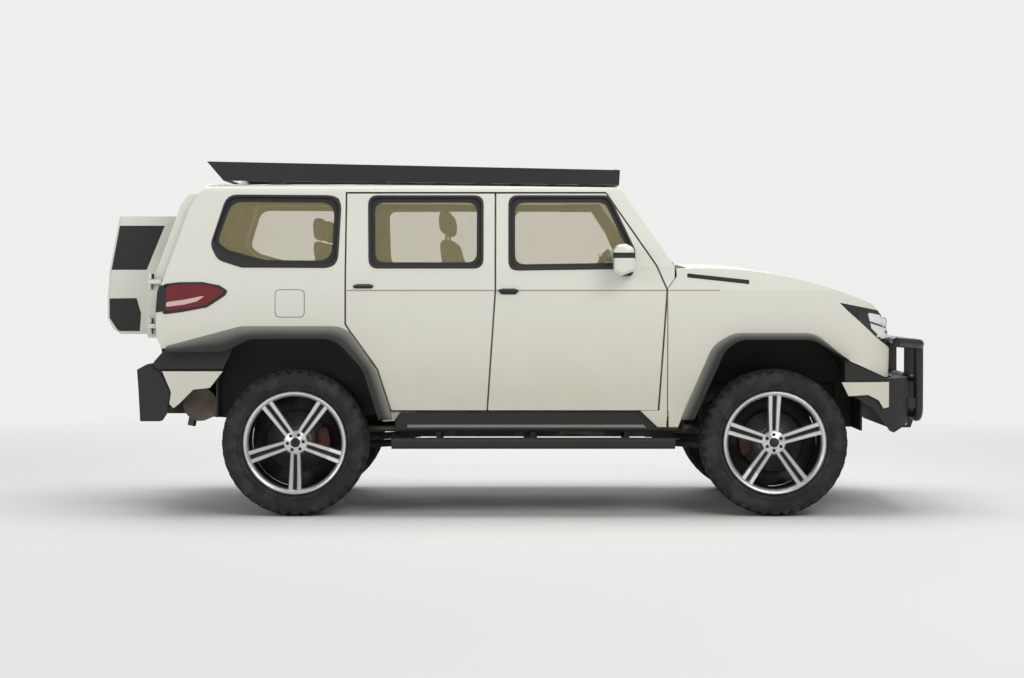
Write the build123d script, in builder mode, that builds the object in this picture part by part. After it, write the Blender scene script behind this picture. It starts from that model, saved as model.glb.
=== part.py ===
"""A lifted five-door off-road 4x4 in millimetres.

+X is forward, +Y is the vehicle's left and +Z is up. The origin is on the ground, on the centre line,
midway between the foremost point of the front guard and the rearmost point of the tailgate's box.
"""

import os

from build123d import *

os.makedirs("parts", exist_ok=True)

# Running gear
WHEELBASE = 2740
FRONT_AXLE_X = 1500
REAR_AXLE_X = FRONT_AXLE_X - WHEELBASE
TYRE_RADIUS = 419
TYRE_WIDTH = 316
WHEEL_Y = 806
RIM_RADIUS = 297
BEAD_RADIUS = 285
KINGPIN_Y = 690
KINGPIN_RADIUS = 22
SPINDLE_RADIUS = 32
SPINDLE_END_Y = 798
AXLE_RADIUS = 45
AXLE_Z = TYRE_RADIUS

# Ladder frame
RAIL_IN_Y = 330
RAIL_OUT_Y = 400
RAIL_DEPTH = 110
RAIL_FRONT_X = 2221.7
RAIL_REAR_X = -2050

# Heights of the body's lines above the ground
FLOOR_Z = 540
FLOOR_WALL = 40
REAR_FLOOR_Z = 760
SILL_Z = 620
DOOR_LOW_Z = 603
CREASE_Z = 1290
BELT_Z = 1427
WINDOW_TOP_Z = 1824
DOOR_TOP_Z = 1846
RAIL_Z = 1856
ROOF_FRONT_Z = 1882
ROOF_REAR_Z = 1912

# Half widths of the body at those heights
SILL_Y = 884
WAIST_Y = 900
CREASE_Y = 894
BELT_Y = 874
RAIL_Y = 772
SHOULDER_Y = 700
FLARE_Y = 975
HOOD_Y = 768

# Panel thicknesses and gaps
DOOR_WALL = 55
DOOR_SKIN = 15
DOOR_STEP = 20
PILLAR_WALL = 40
SEAL_GAP = 10
SHUT_GAP = 10
PANEL_GAP = 6
FENDER_WALL = 25
HOOD_WALL = 30
ROOF_WALL = 45
LINER_WALL = 10
GLASS_WALL = 5
GLASS_SET_IN = 14
TAILGATE_WALL = 64
FIT = 0.3
PANEL_RECESS = 7
APERTURE_LAP = 58
PILLAR_DEPTH = DOOR_WALL + SEAL_GAP + PILLAR_WALL
INSIDE_Y = SILL_Y - PILLAR_DEPTH

# Hinges: x, y of the right-hand doors' axes, the heights of their pins, and the pin's own sizes
FRONT_HINGE_X = 845
REAR_HINGE_X = -140
HINGE_Y = 878
HINGE_HEIGHTS = (880, 1200)
TAIL_HINGE_X = -2080
TAIL_HINGE_Y = 816
TAIL_HINGE_HEIGHTS = (1085, 1340)
HOOD_HINGE_X = 1016
HOOD_HINGE_Z = 1408
HOOD_HINGE_Y = 640
PIN_RADIUS = 4.7
BORE_RADIUS = 5
BARREL_RADIUS = 10
BARREL_HALF = 45
KNUCKLE_HALF = 12
NOTCH_HALF = 17

# Where the cab's slanted ends stand
SCREEN_FOOT_X = 930
SCREEN_SLOPE = 0.682
SHUT_LINE_X = -95
SHUT_LINE_LOW_X = -142
TAILGATE_LOW_Z = 1016
BODY_REAR_LOW_Z = 958
HALF_LENGTH = 2405
# How far a half profile reaches past the centre line before it is mirrored
HALF_LAP = 150


def screen_x(z):
    """The windscreen's outer plane at a height."""
    return SCREEN_FOOT_X - (z - BELT_Z) * SCREEN_SLOPE


# The body's rear edge, where the tailgate closes, as (x, z) from the top down
TAIL_EDGE = [(-1763, 1900), (-1848, 1783), (-1963, 1437), (-2021, 1283), (-2036, 1111), (-2030, TAILGATE_LOW_Z)]


def slab(outline, y_low, y_high, mode=Mode.ADD, corner=0, taper=0):
    """Builds between two Y planes the solid whose side view is the outline of (x, z) points."""
    with BuildSketch(Plane.XZ.offset(-y_high)) as face:
        with BuildLine():
            Polyline(*outline, close=True)
        make_face()
        if corner:
            fillet(face.vertices(), corner)
    extrude(face.sketch, amount=y_high - y_low, taper=taper, mode=mode)


def across(outline, x_low, x_high, mode=Mode.ADD, corner=0):
    """Builds between two X planes the solid whose front view is the outline of (y, z) points."""
    with BuildSketch(Plane.YZ.offset(x_low)) as face:
        with BuildLine():
            Polyline(*outline, close=True)
        make_face()
        if corner:
            fillet(face.vertices(), corner)
    extrude(face.sketch, amount=x_high - x_low, mode=mode)


def block(x_low, x_high, y_low, y_high, z_low, z_high, mode=Mode.ADD):
    """Builds a plain block between its lowest and highest corners."""
    with Locations(((x_low + x_high) / 2, (y_low + y_high) / 2, (z_low + z_high) / 2)):
        Box(x_high - x_low, y_high - y_low, z_high - z_low, mode=mode)


def rod(start, end, radius, mode=Mode.ADD):
    """Builds a round bar between two points."""
    line = Vector(*end) - Vector(*start)
    with Locations(Plane(origin=start, z_dir=line)):
        Cylinder(radius, line.length, align=(Align.CENTER, Align.CENTER, Align.MIN), mode=mode)


def tube_run(points, radius, bend, mode=Mode.ADD):
    """Builds a round tube's outside along a run of points, with rounded bends."""
    with BuildLine() as run:
        FilletPolyline(*points, radius=bend)
    path = run.wire()
    with BuildSketch(Plane(origin=path @ 0, z_dir=path % 0)) as end:
        Circle(radius)
    sweep(end.sketch, path=path, mode=mode)


def grown(outline, amount):
    """The closed outline's points moved outwards by amount, square to the edges that meet there."""
    points = [Vector(*point) for point in outline]
    around = list(zip(points[-1:] + points[:-1], points, points[1:] + points[:1]))
    outwards = -1 if sum(here.cross(after).Z for _, here, after in around) > 0 else 1
    moved = []
    for before, here, after in around:
        legs = ((here - before).normalized(), (after - here).normalized())
        first, second = (Vector(-leg.Y, leg.X) * outwards for leg in legs)
        shift = (first + second) * (amount / (1 + first.dot(second)))
        moved.append((here.X + shift.X, here.Y + shift.Y))
    return moved


def section(inset, recess):
    """The body's cross-section, its walls moved in by inset and its side sunk below the crease."""
    low, waist, crease = (y - recess for y in (SILL_Y, WAIST_Y, CREASE_Y))
    with BuildSketch(Plane.YZ) as face:
        with BuildLine():
            Polyline((0, FLOOR_Z), (low, FLOOR_Z), (low, SILL_Z))
            ThreePointArc((low, SILL_Z), (waist, 950), (crease, CREASE_Z - recess))
            if recess:
                Line((crease, CREASE_Z - recess), (CREASE_Y, CREASE_Z))
            Polyline((CREASE_Y, CREASE_Z), (BELT_Y, BELT_Z), (RAIL_Y, RAIL_Z))
            ThreePointArc((RAIL_Y, RAIL_Z), (RAIL_Y - 22, RAIL_Z + 32), (SHOULDER_Y, RAIL_Z + 44))
            ThreePointArc((SHOULDER_Y, RAIL_Z + 44), (SHOULDER_Y / 2, RAIL_Z + 57), (0, RAIL_Z + 62))
            Polyline((0, RAIL_Z + 62), (-HALF_LAP, RAIL_Z + 62), (-HALF_LAP, FLOOR_Z), (0, FLOOR_Z))
        make_face()
        if inset:
            offset(amount=-inset, kind=Kind.INTERSECTION)
        mirror(about=Plane.YZ)
    return face.sketch


CAB_SIDE = [
    (SCREEN_FOOT_X, FLOOR_Z),
    (SCREEN_FOOT_X, BELT_Z),
    (screen_x(ROOF_FRONT_Z), ROOF_FRONT_Z),
    (-1754, ROOF_REAR_Z),
    *TAIL_EDGE,
    (-2005, BODY_REAR_LOW_Z),
    (-1960, 760),
    (-1900, FLOOR_Z),
]


def cab_form(inset, recess=0, end_inset=None):
    """The cab's outside form with every wall moved in by inset, its ends by end_inset."""
    end_inset = inset if end_inset is None else end_inset
    face = section(inset, recess)
    with BuildPart() as form:
        extrude(face, amount=SCREEN_FOOT_X + 10)
        extrude(face, amount=-2100)
        with BuildSketch(Plane.XZ) as side:
            with BuildLine():
                Polyline(*CAB_SIDE, close=True)
            make_face()
            if end_inset:
                offset(amount=-end_inset, kind=Kind.INTERSECTION)
        extrude(amount=1000, both=True, mode=Mode.INTERSECT)
    return form.part


# The nose: its centre line from the windscreen's foot to the bumper, and its plan
NOSE_TAPER = 2
NOSE_CREST = ((930, 1440), (1560, 1401), (2083, 1234))
NOSE_FALL = ((2083, 1234), (2177, 1100), (2206, 940))
NOSE_CORNER = ((1900, WAIST_Y + 10), (2125, 815), (2206, 560))
NOSE_LOW_Z = 700


def nose_form(inset):
    """The outside form of hood, fenders and grille together, with its walls moved in by inset."""
    with BuildPart() as form:
        with BuildSketch(Plane.YZ.offset(800)):
            with BuildLine():
                Polyline((-HALF_LAP, 400), (SILL_Y, 400), (SILL_Y, SILL_Z))
                ThreePointArc((SILL_Y, SILL_Z), (WAIST_Y, 950), (CREASE_Y, CREASE_Z))
                Polyline((CREASE_Y, CREASE_Z), (BELT_Y, BELT_Z), (BELT_Y - 24, 1530), (-HALF_LAP, 1530))
                Line((-HALF_LAP, 1530), (-HALF_LAP, 400))
            make_face()
            if inset:
                offset(amount=-inset, kind=Kind.INTERSECTION)
            mirror(about=Plane.YZ)
        extrude(amount=1600)
        with BuildSketch(Plane.XZ):
            with BuildLine():
                Polyline((780, 300), (780, 1449), NOSE_CREST[0])
                ThreePointArc(*NOSE_CREST)
                ThreePointArc(*NOSE_FALL)
                Polyline(NOSE_FALL[2], (2200, 760), (2150, 680), (2150, 300), (780, 300))
            make_face()
            if inset:
                offset(amount=-inset, kind=Kind.INTERSECTION)
        extrude(amount=1000, both=True, taper=NOSE_TAPER, mode=Mode.INTERSECT)
        with BuildSketch(Plane.XY.offset(250)):
            with BuildLine():
                Polyline((780, -HALF_LAP), (780, NOSE_CORNER[0][1]), NOSE_CORNER[0])
                ThreePointArc(*NOSE_CORNER)
                ThreePointArc(NOSE_CORNER[2], (2224, 300), (2230, 0))
                Polyline((2230, 0), (2230, -HALF_LAP), (780, -HALF_LAP))
            make_face()
            if inset:
                offset(amount=-inset, kind=Kind.INTERSECTION)
            mirror(about=Plane.XZ)
        extrude(amount=1400, mode=Mode.INTERSECT)
    return form.part


# Side outlines of the panels and openings, as (x, z) points
FRONT_DOOR = [
    (SHUT_LINE_X + SHUT_GAP / 2, DOOR_TOP_Z),
    (SHUT_LINE_X + SHUT_GAP / 2, CREASE_Z),
    (SHUT_LINE_LOW_X + SHUT_GAP / 2, DOOR_LOW_Z),
    (834, DOOR_LOW_Z),
    (883, CREASE_Z),
    (824, BELT_Z),
    (824 - (DOOR_TOP_Z - BELT_Z) * SCREEN_SLOPE, DOOR_TOP_Z),
]
REAR_DOOR = [
    (-948, DOOR_TOP_Z),
    (-948, 1098),
    (-928, 1066),
    (-766, 840),
    (-690, DOOR_LOW_Z),
    (SHUT_LINE_LOW_X - SHUT_GAP / 2, DOOR_LOW_Z),
    (SHUT_LINE_X - SHUT_GAP / 2, CREASE_Z),
    (SHUT_LINE_X - SHUT_GAP / 2, DOOR_TOP_Z),
]
FRONT_WINDOW = [(-8, WINDOW_TOP_Z), (-8, BELT_Z - 12), (694, BELT_Z - 2), (694, 1520), (552, WINDOW_TOP_Z)]
REAR_WINDOW = [(-816, WINDOW_TOP_Z), (-808, BELT_Z), (-176, BELT_Z), (-176, WINDOW_TOP_Z)]
QUARTER_WINDOW = [(-1632, 1828), (-1722, 1560), (-1640, 1500), (-1420, 1440), (-1010, 1436), (-992, 1824)]
WINDOW_CORNER = 20
FENDER_ZONE = [(893, 400), (893, 1300), (942, 1368), (942, 1600), (2400, 1600), (2400, 400)]
FENDER_LOW_Z = 600
HOOD_ZONE = [(1006, 1330), (1872, 1228), (2170, 1166), (2400, 1130), (2400, 1600), (1006, 1600)]
HEADLAMP = [(1872, 1219), (1923, 1168), (2092, 1018), (2260, 905), (2260, 1145), (2172, 1160)]
HEADLAMP_IN_Y = 606
TAIL_LAMP = [(-2080, 1318), (-1800, 1320), (-1640, 1262), (-1760, 1200), (-2080, 1158)]
FRONT_OPENING = [
    (1036, 300),
    (1036, 575),
    (1212, 944),
    (1290, 1008),
    (1715, 1008),
    (1934, 884),
    (2148, 790),
    (2400, 790),
    (2400, 300),
]
FRONT_FLARE = [(966, 551), (1148, 976), (1265, 1046), (1733, 1046), (1905, 905), (1880, 851), (1500, 551)]
REAR_OPENING = [
    (-760, 300),
    (-760, 560),
    (-850, 838),
    (-1010, 1015),
    (-1500, 1015),
    (-1640, BODY_REAR_LOW_Z),
    (-2300, BODY_REAR_LOW_Z),
    (-2300, 300),
]
REAR_FLARE = [
    (-684, 551),
    (-778, 838),
    (-938, 1060),
    (-1000, 1085),
    (-1500, 1085),
    (-1600, 1060),
    (-1974, 970),
    (-1974, BODY_REAR_LOW_Z),
    (-1500, 800),
    (-1100, 551),
]
FRONT_LINER = [
    (985, 480),
    (985, 600),
    (1150, 940),
    (1262, 1022),
    (1730, 1022),
    (1900, 900),
    (2010, 660),
    (2010, 480),
]
REAR_LINER = [
    (-750, 480),
    (-750, 560),
    (-842, 842),
    (-1004, 1026),
    (-1506, 1026),
    (-1640, 975),
    (-1690, 760),
    (-1690, 480),
]

# The forms that the panels are cut from
outside = cab_form(0)
fitted_outside = cab_form(-FIT)
recessed_form = cab_form(0, PANEL_RECESS)
skin_form = cab_form(DOOR_SKIN, end_inset=0)
door_back_form = cab_form(DOOR_WALL, end_inset=0)
pocket_form = cab_form(DOOR_WALL + SEAL_GAP, end_inset=0)
pillar_form = cab_form(PILLAR_DEPTH)
fender_seat_form = cab_form(FENDER_WALL + FIT, end_inset=0)
nose_outside = nose_form(0)
nose_fender_inside = nose_form(FENDER_WALL)
nose_hood_inside = nose_form(HOOD_WALL)

TAIL_OPENING = [(-700, 1062), (700, 1062), (640, 1790), (-640, 1790)]
SCREEN_OPENING = [(-790, BELT_Z - 14), (790, BELT_Z - 14), (676, RAIL_Z - 16), (-676, RAIL_Z - 16)]


def cut_outside(outline, form, y_high=-600):
    """The solid between a side outline's right-hand reach and a form: what is sunk into that form's side."""
    with BuildPart() as sunk:
        slab(outline, -1000, y_high)
        add(form, mode=Mode.SUBTRACT)
    return sunk.part


door_pockets = [cut_outside(grown(outline, SHUT_GAP), pocket_form, -500) for outline in (FRONT_DOOR, REAR_DOOR)]
# The front fender laps over the frame's front edge
fender_lap = cut_outside(grown(FENDER_ZONE, PANEL_GAP), fender_seat_form, -500)
tail_lamp_pocket = cut_outside(grown(TAIL_LAMP, FIT), fender_seat_form, -700)

# Side frames: pillars, rails, sill and quarter panel of each side, with the doors' hinge pins
with BuildPart() as side_frame:
    add(outside)
    add(pillar_form, mode=Mode.SUBTRACT)
    block(-2200, 1000, -1000, -600, FLOOR_Z, RAIL_Z, mode=Mode.INTERSECT)
    block(-2200, 1000, -INSIDE_Y, -500, FLOOR_Z - 10, 1062, mode=Mode.SUBTRACT)
    block(800, 1000, -INSIDE_Y, -500, FLOOR_Z - 10, BELT_Z - 14, mode=Mode.SUBTRACT)
    for door_outline, pocket in zip((FRONT_DOOR, REAR_DOOR), door_pockets):
        add(pocket, mode=Mode.SUBTRACT)
        slab(grown(door_outline, -APERTURE_LAP), -1000, -500, mode=Mode.SUBTRACT)
    slab(QUARTER_WINDOW, -1000, -500, mode=Mode.SUBTRACT, corner=WINDOW_CORNER)
    across(SCREEN_OPENING, 300, 1000, mode=Mode.SUBTRACT, corner=40)
    across(TAIL_OPENING, -2200, -1700, mode=Mode.SUBTRACT, corner=40)
    slab(REAR_OPENING, -1000, -500, mode=Mode.SUBTRACT)
    slab(grown(REAR_LINER, LINER_WALL + FIT), -1000, -500, mode=Mode.SUBTRACT)
    add(fender_lap, mode=Mode.SUBTRACT)
    # The rocker cover laps over the sill
    block(-700, 860, -1000, -850, FLOOR_Z - 10, DOOR_LOW_Z - SHUT_GAP, mode=Mode.SUBTRACT)
    add(tail_lamp_pocket, mode=Mode.SUBTRACT)
    for hinge_x in (FRONT_HINGE_X, REAR_HINGE_X):
        for z in HINGE_HEIGHTS:
            rod((hinge_x, -HINGE_Y, z - BARREL_HALF), (hinge_x, -HINGE_Y, z + BARREL_HALF), PIN_RADIUS)
            block(hinge_x - 5, hinge_x + 5, -HINGE_Y, -INSIDE_Y - 20, z - KNUCKLE_HALF, z + KNUCKLE_HALF)

with BuildPart() as tail_pins:
    for z in TAIL_HINGE_HEIGHTS:
        low, high = z - BARREL_HALF, z + BARREL_HALF
        rod((TAIL_HINGE_X, -TAIL_HINGE_Y, low), (TAIL_HINGE_X, -TAIL_HINGE_Y, high), PIN_RADIUS)
        block(TAIL_HINGE_X - 6, -2010, -860, 5 - TAIL_HINGE_Y, z - KNUCKLE_HALF, z + KNUCKLE_HALF)

with BuildPart() as side_frames:
    add(side_frame.part)
    mirror(about=Plane.XZ)
    add(tail_pins.part)
side_frames.part.label = "side_frames"
export_step(side_frames.part, "parts/side_frames.step")


def door_rebate(outline):
    """The band behind a door's skin, all round it, where the inner panel stands in from the edge."""
    with BuildPart() as band:
        slab(grown(outline, 5), -1000, -600)
        slab(grown(outline, -DOOR_STEP), -1000, -600, mode=Mode.SUBTRACT)
        add(skin_form, mode=Mode.INTERSECT)
    return band.part


def door_shell(outline, window, hinge_x, rebate):
    """Builds a right-hand door: skin, inner panel set in from its edge, window opening and barrels."""
    slab(outline, -1000, -600)
    add(recessed_form, mode=Mode.INTERSECT)
    add(door_back_form, mode=Mode.SUBTRACT)
    add(rebate, mode=Mode.SUBTRACT)
    slab(window, -1000, -600, mode=Mode.SUBTRACT, corner=WINDOW_CORNER)
    for z in HINGE_HEIGHTS:
        low, high = (hinge_x, -HINGE_Y, z - BARREL_HALF), (hinge_x, -HINGE_Y, z + BARREL_HALF)
        rod(low, high, BARREL_RADIUS)
        block(hinge_x - 16, hinge_x + 60, -HINGE_Y - BARREL_RADIUS, -700, z - NOTCH_HALF, z + NOTCH_HALF,
              mode=Mode.SUBTRACT)
        rod((hinge_x, -HINGE_Y, z - BARREL_HALF - 6), (hinge_x, -HINGE_Y, z + BARREL_HALF + 6), BORE_RADIUS,
            mode=Mode.SUBTRACT)


front_rebate = door_rebate(FRONT_DOOR)
rear_rebate = door_rebate(REAR_DOOR)

with BuildPart() as door_front_right:
    door_shell(FRONT_DOOR, FRONT_WINDOW, FRONT_HINGE_X, front_rebate)
door_front_right.part.label = "door_front_right"
export_step(door_front_right.part, "parts/door_front_right.step")

with BuildPart() as door_rear_right:
    door_shell(REAR_DOOR, REAR_WINDOW, REAR_HINGE_X, rear_rebate)
door_rear_right.part.label = "door_rear_right"
export_step(door_rear_right.part, "parts/door_rear_right.step")

with BuildPart() as door_front_left:
    mirror(door_front_right.part, about=Plane.XZ)
door_front_left.part.label = "door_front_left"
export_step(door_front_left.part, "parts/door_front_left.step")

with BuildPart() as door_rear_left:
    mirror(door_rear_right.part, about=Plane.XZ)
door_rear_left.part.label = "door_rear_left"
export_step(door_rear_left.part, "parts/door_rear_left.step")

# Glass
glass_face_form = cab_form(GLASS_SET_IN, end_inset=GLASS_SET_IN)
glass_back_form = cab_form(GLASS_SET_IN + GLASS_WALL, end_inset=GLASS_SET_IN + GLASS_WALL)
with BuildPart() as glass_shell:
    add(glass_face_form)
    add(glass_back_form, mode=Mode.SUBTRACT)

with BuildPart() as window_front_right:
    slab(grown(FRONT_WINDOW, -FIT), -1000, -600, corner=WINDOW_CORNER)
    add(glass_shell.part, mode=Mode.INTERSECT)
window_front_right.part.label = "window_front_right"
export_step(window_front_right.part, "parts/window_front_right.step")

with BuildPart() as window_rear_right:
    slab(grown(REAR_WINDOW, -FIT), -1000, -600, corner=WINDOW_CORNER)
    add(glass_shell.part, mode=Mode.INTERSECT)
window_rear_right.part.label = "window_rear_right"
export_step(window_rear_right.part, "parts/window_rear_right.step")

with BuildPart() as window_front_left:
    mirror(window_front_right.part, about=Plane.XZ)
window_front_left.part.label = "window_front_left"
export_step(window_front_left.part, "parts/window_front_left.step")

with BuildPart() as window_rear_left:
    mirror(window_rear_right.part, about=Plane.XZ)
window_rear_left.part.label = "window_rear_left"
export_step(window_rear_left.part, "parts/window_rear_left.step")

with BuildPart() as screen:
    across(grown(SCREEN_OPENING, -FIT), 300, 1000, corner=40)
    add(glass_shell.part, mode=Mode.INTERSECT)

with BuildPart() as fixed_windows:
    slab(grown(QUARTER_WINDOW, -FIT), -1000, -600, corner=WINDOW_CORNER)
    add(glass_shell.part, mode=Mode.INTERSECT)
    mirror(about=Plane.XZ)
    add(screen.part)
fixed_windows.part.label = "fixed_windows"
export_step(fixed_windows.part, "parts/fixed_windows.step")

# Roof and its rack
headlining_form = cab_form(ROOF_WALL)
with BuildPart() as roof_panel:
    add(outside)
    add(headlining_form, mode=Mode.SUBTRACT)
    block(-2200, 1000, -1000, 1000, RAIL_Z, 2000, mode=Mode.INTERSECT)
roof_panel.part.label = "roof_panel"
export_step(roof_panel.part, "parts/roof_panel.step")

RACK_Y = 716
RACK_WALL = 20
RACK_SIDE = [(-1765, 2035), (625, 1985), (620, 1899), (-1670, 1924)]
RACK_SLATS = 10
RACK_SLAT_LENGTH = 64
RACK_FOOT_XS = (420, -160, -760, -1360)
with BuildPart() as roof_rack:
    slab(RACK_SIDE, -RACK_Y, RACK_WALL - RACK_Y)
    mirror(about=Plane.XZ)
    slab([(590, 1988), (625, 1985), (620, 1899), (604, 1899)], -RACK_Y, RACK_Y)
    slab([(-1765, 2035), (-1725, 2031), (-1640, 1930), (-1670, 1924)], -RACK_Y, RACK_Y)
    for number in range(RACK_SLATS):
        x = 480 - number * 228
        z = 1958 + (480 - x) * 0.021
        block(x - RACK_SLAT_LENGTH / 2, x + RACK_SLAT_LENGTH / 2, -RACK_Y + 5, RACK_Y - 5, z, z + 14)
    for x in RACK_FOOT_XS:
        for side in (-1, 1):
            block(x - 40, x + 40, side * 690 - 20, side * 690 + 20, 1860, 1950)
    add(fitted_outside, mode=Mode.SUBTRACT)
roof_rack.part.label = "roof_rack"
export_step(roof_rack.part, "parts/roof_rack.step")

# Floor tub: firewall with cowl, floor with its tunnel, kicked-up rear floor and tail panel
KICK_X = -640
TUB_SIDE_Y = INSIDE_Y - FIT
TUNNEL = [(-230, FLOOR_Z), (230, FLOOR_Z), (190, 800), (-190, 800)]
COWL = [(880, 1300), (880, 1412), (934, 1412), (1002, 1388), (1002, 1370), (925, 1370), (925, 1300)]
HOOD_ARM = [(1022, 1412), (1010, 1412), (985, 1385), (1000, 1371), (1022, 1402)]
with BuildPart() as floor_pan:
    block(KICK_X, 925, -TUB_SIDE_Y, TUB_SIDE_Y, FLOOR_Z, FLOOR_Z + FLOOR_WALL)
    block(KICK_X, KICK_X + 30, -TUB_SIDE_Y, TUB_SIDE_Y, FLOOR_Z, REAR_FLOOR_Z + FLOOR_WALL)
    block(-1990, KICK_X + 30, -TUB_SIDE_Y, TUB_SIDE_Y, REAR_FLOOR_Z, REAR_FLOOR_Z + FLOOR_WALL)
    slab([(-1995, 760), (-1965, 760), (-1990, 1058), (-2031, 1058), (-2029, 1004)], -TUB_SIDE_Y, TUB_SIDE_Y)
    block(880, 925, -TUB_SIDE_Y, TUB_SIDE_Y, FLOOR_Z, 1340)
    slab(COWL, -HOOD_Y, HOOD_Y)
    across(TUNNEL, -300, 925)
    across(grown(TUNNEL, -20), -290, 1000, mode=Mode.SUBTRACT)
    block(-290, 1000, -205, 205, FLOOR_Z - 20, FLOOR_Z + 60, mode=Mode.SUBTRACT)
    # Wheelhouses rise through the rear floor's sides
    for side in (-1, 1):
        low, high = sorted((side * 604, side * 1000))
        slab(grown(REAR_LINER, LINER_WALL + FIT), low, high, mode=Mode.SUBTRACT)
    # The hood's hinge pins
    for side in (-1, 1):
        y = side * HOOD_HINGE_Y
        low, high = y - BARREL_HALF, y + BARREL_HALF
        rod((HOOD_HINGE_X, low, HOOD_HINGE_Z), (HOOD_HINGE_X, high, HOOD_HINGE_Z), PIN_RADIUS)
        slab(HOOD_ARM, y - KNUCKLE_HALF, y + KNUCKLE_HALF)
floor_pan.part.label = "floor_pan"
export_step(floor_pan.part, "parts/floor_pan.step")

# Hood
with BuildPart() as hood:
    add(nose_outside)
    add(nose_hood_inside, mode=Mode.SUBTRACT)
    block(1006, 2400, -HOOD_Y, HOOD_Y, 900, 1500, mode=Mode.INTERSECT)
    slab(HOOD_ZONE, -1000, 1000, mode=Mode.INTERSECT)
    for side in (-1, 1):
        y = side * HOOD_HINGE_Y
        low, high = y - BARREL_HALF, y + BARREL_HALF
        rod((HOOD_HINGE_X, low, HOOD_HINGE_Z), (HOOD_HINGE_X, high, HOOD_HINGE_Z), BARREL_RADIUS)
        block(HOOD_HINGE_X - 40, HOOD_HINGE_X + 10, y - NOTCH_HALF, y + NOTCH_HALF, 1300, HOOD_HINGE_Z + 11,
              mode=Mode.SUBTRACT)
        rod((HOOD_HINGE_X, low - 6, HOOD_HINGE_Z), (HOOD_HINGE_X, high + 6, HOOD_HINGE_Z), BORE_RADIUS,
            mode=Mode.SUBTRACT)
hood.part.label = "hood"
export_step(hood.part, "parts/hood.step")

# Front fenders
with BuildPart() as front_fenders:
    add(nose_outside)
    add(nose_fender_inside, mode=Mode.SUBTRACT)
    slab(FENDER_ZONE, -1000, 1000, mode=Mode.INTERSECT)
    block(800, 2400, -1000, -HEADLAMP_IN_Y, FENDER_LOW_Z, 1500, mode=Mode.INTERSECT)
    slab(grown(HOOD_ZONE, PANEL_GAP), -HOOD_Y - PANEL_GAP, -500, mode=Mode.SUBTRACT)
    block(800, 1012, -HOOD_Y - PANEL_GAP, -500, 1000, 1500, mode=Mode.SUBTRACT)
    slab(FRONT_OPENING, -1000, -500, mode=Mode.SUBTRACT)
    slab(grown(HEADLAMP, FIT), -1000, -500, mode=Mode.SUBTRACT)
    mirror(about=Plane.XZ)
front_fenders.part.label = "front_fenders"
export_step(front_fenders.part, "parts/front_fenders.step")

LAMP_DEPTH = 70
nose_lamp_inside = nose_form(LAMP_DEPTH)
with BuildPart() as headlamp:
    add(nose_outside)
    add(nose_lamp_inside, mode=Mode.SUBTRACT)
    slab(HEADLAMP, -1000, -HEADLAMP_IN_Y, mode=Mode.INTERSECT)

# Grille between the headlamps, under the hood's lip
GRILLE_Y = HEADLAMP_IN_Y - FIT
GRILLE_SLOT_ZS = (880, 930, 980, 1030, 1080)
with BuildPart() as grille:
    add(nose_outside)
    add(nose_hood_inside, mode=Mode.SUBTRACT)
    block(1900, 2400, -GRILLE_Y, GRILLE_Y, 790, 1300, mode=Mode.INTERSECT)
    slab(grown(HOOD_ZONE, PANEL_GAP), -1000, 1000, mode=Mode.SUBTRACT)
    for z in GRILLE_SLOT_ZS:
        for y in (-282, 0, 282):
            block(1900, 2400, y - 122, y + 122, z, z + 26, mode=Mode.SUBTRACT)
grille.part.label = "grille"
export_step(grille.part, "parts/grille.step")

# Front bumper, its plan swept back at the ends
BUMPER_SIDE = [
    (1915, 690),
    (1905, 764),
    (1905, 890),
    (1934, 877),
    (2148, 783),
    (2312, 783),
    (2312, 520),
    (2200, 470),
    (2120, 560),
    (2080, 612),
    (1960, 680),
]


def bumper_plan(amount):
    """The front bumper's plan as a solid, its outline moved outwards by amount."""
    with BuildPart() as form:
        with BuildSketch(Plane.XY.offset(400)):
            with BuildLine():
                Polyline((1500, -HALF_LAP), (1500, 886), (1890, 886))
                ThreePointArc((1890, 886), (2225, 780), (2312, 470))
                Polyline((2312, 470), (2312, -HALF_LAP), (1500, -HALF_LAP))
            make_face()
            if amount:
                offset(amount=amount, kind=Kind.INTERSECTION)
            mirror(about=Plane.XZ)
        extrude(amount=600)
    return form.part


BUMPER_WALL = 90
CORNER_WALL = 16
bumper_outside, bumper_inside = bumper_plan(0), bumper_plan(-BUMPER_WALL)
corner_outside, corner_inside = bumper_plan(CORNER_WALL), bumper_plan(FIT)

with BuildPart() as front_bumper:
    slab(BUMPER_SIDE, -1000, 1000)
    add(bumper_outside, mode=Mode.INTERSECT)
    add(bumper_inside, mode=Mode.SUBTRACT)

# Front guard: hoop, uprights and feet in front of the bumper
GUARD_X = 2377
GUARD_RADIUS = 28
GUARD_TOP = [(2215, -800, 990), (GUARD_X, -640, 975), (GUARD_X, 640, 975), (2215, 800, 990)]
GUARD_HOOP = [(GUARD_X, -600, 975), (GUARD_X, -600, 548), (GUARD_X, 600, 548), (GUARD_X, 600, 975)]
GUARD_PLATE = [
    (2312.3, 510),
    (2312.3, 770),
    (2345, 800),
    (2345, 990),
    (2402, 1003),
    (2402, 519),
    (2385, 468),
    (2325, 468),
]
EYE_X = 2354
EYE_Z = 494
EYE_RADIUS = 11
with BuildPart() as front_guard:
    tube_run(GUARD_TOP, GUARD_RADIUS, 60)
    tube_run(GUARD_HOOP, GUARD_RADIUS, 60)
    rod((GUARD_X, -600, 770), (GUARD_X, 600, 770), 22)
    for y in (-300, 300):
        slab(GUARD_PLATE, y - 6, y + 6)
        rod((EYE_X, y - 10, EYE_Z), (EYE_X, y + 10, EYE_Z), EYE_RADIUS, mode=Mode.SUBTRACT)
    for y in (-600, 600):
        block(2312.3, GUARD_X, y - 20, y + 20, 600, 660)
front_guard.part.label = "front_guard"
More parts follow.
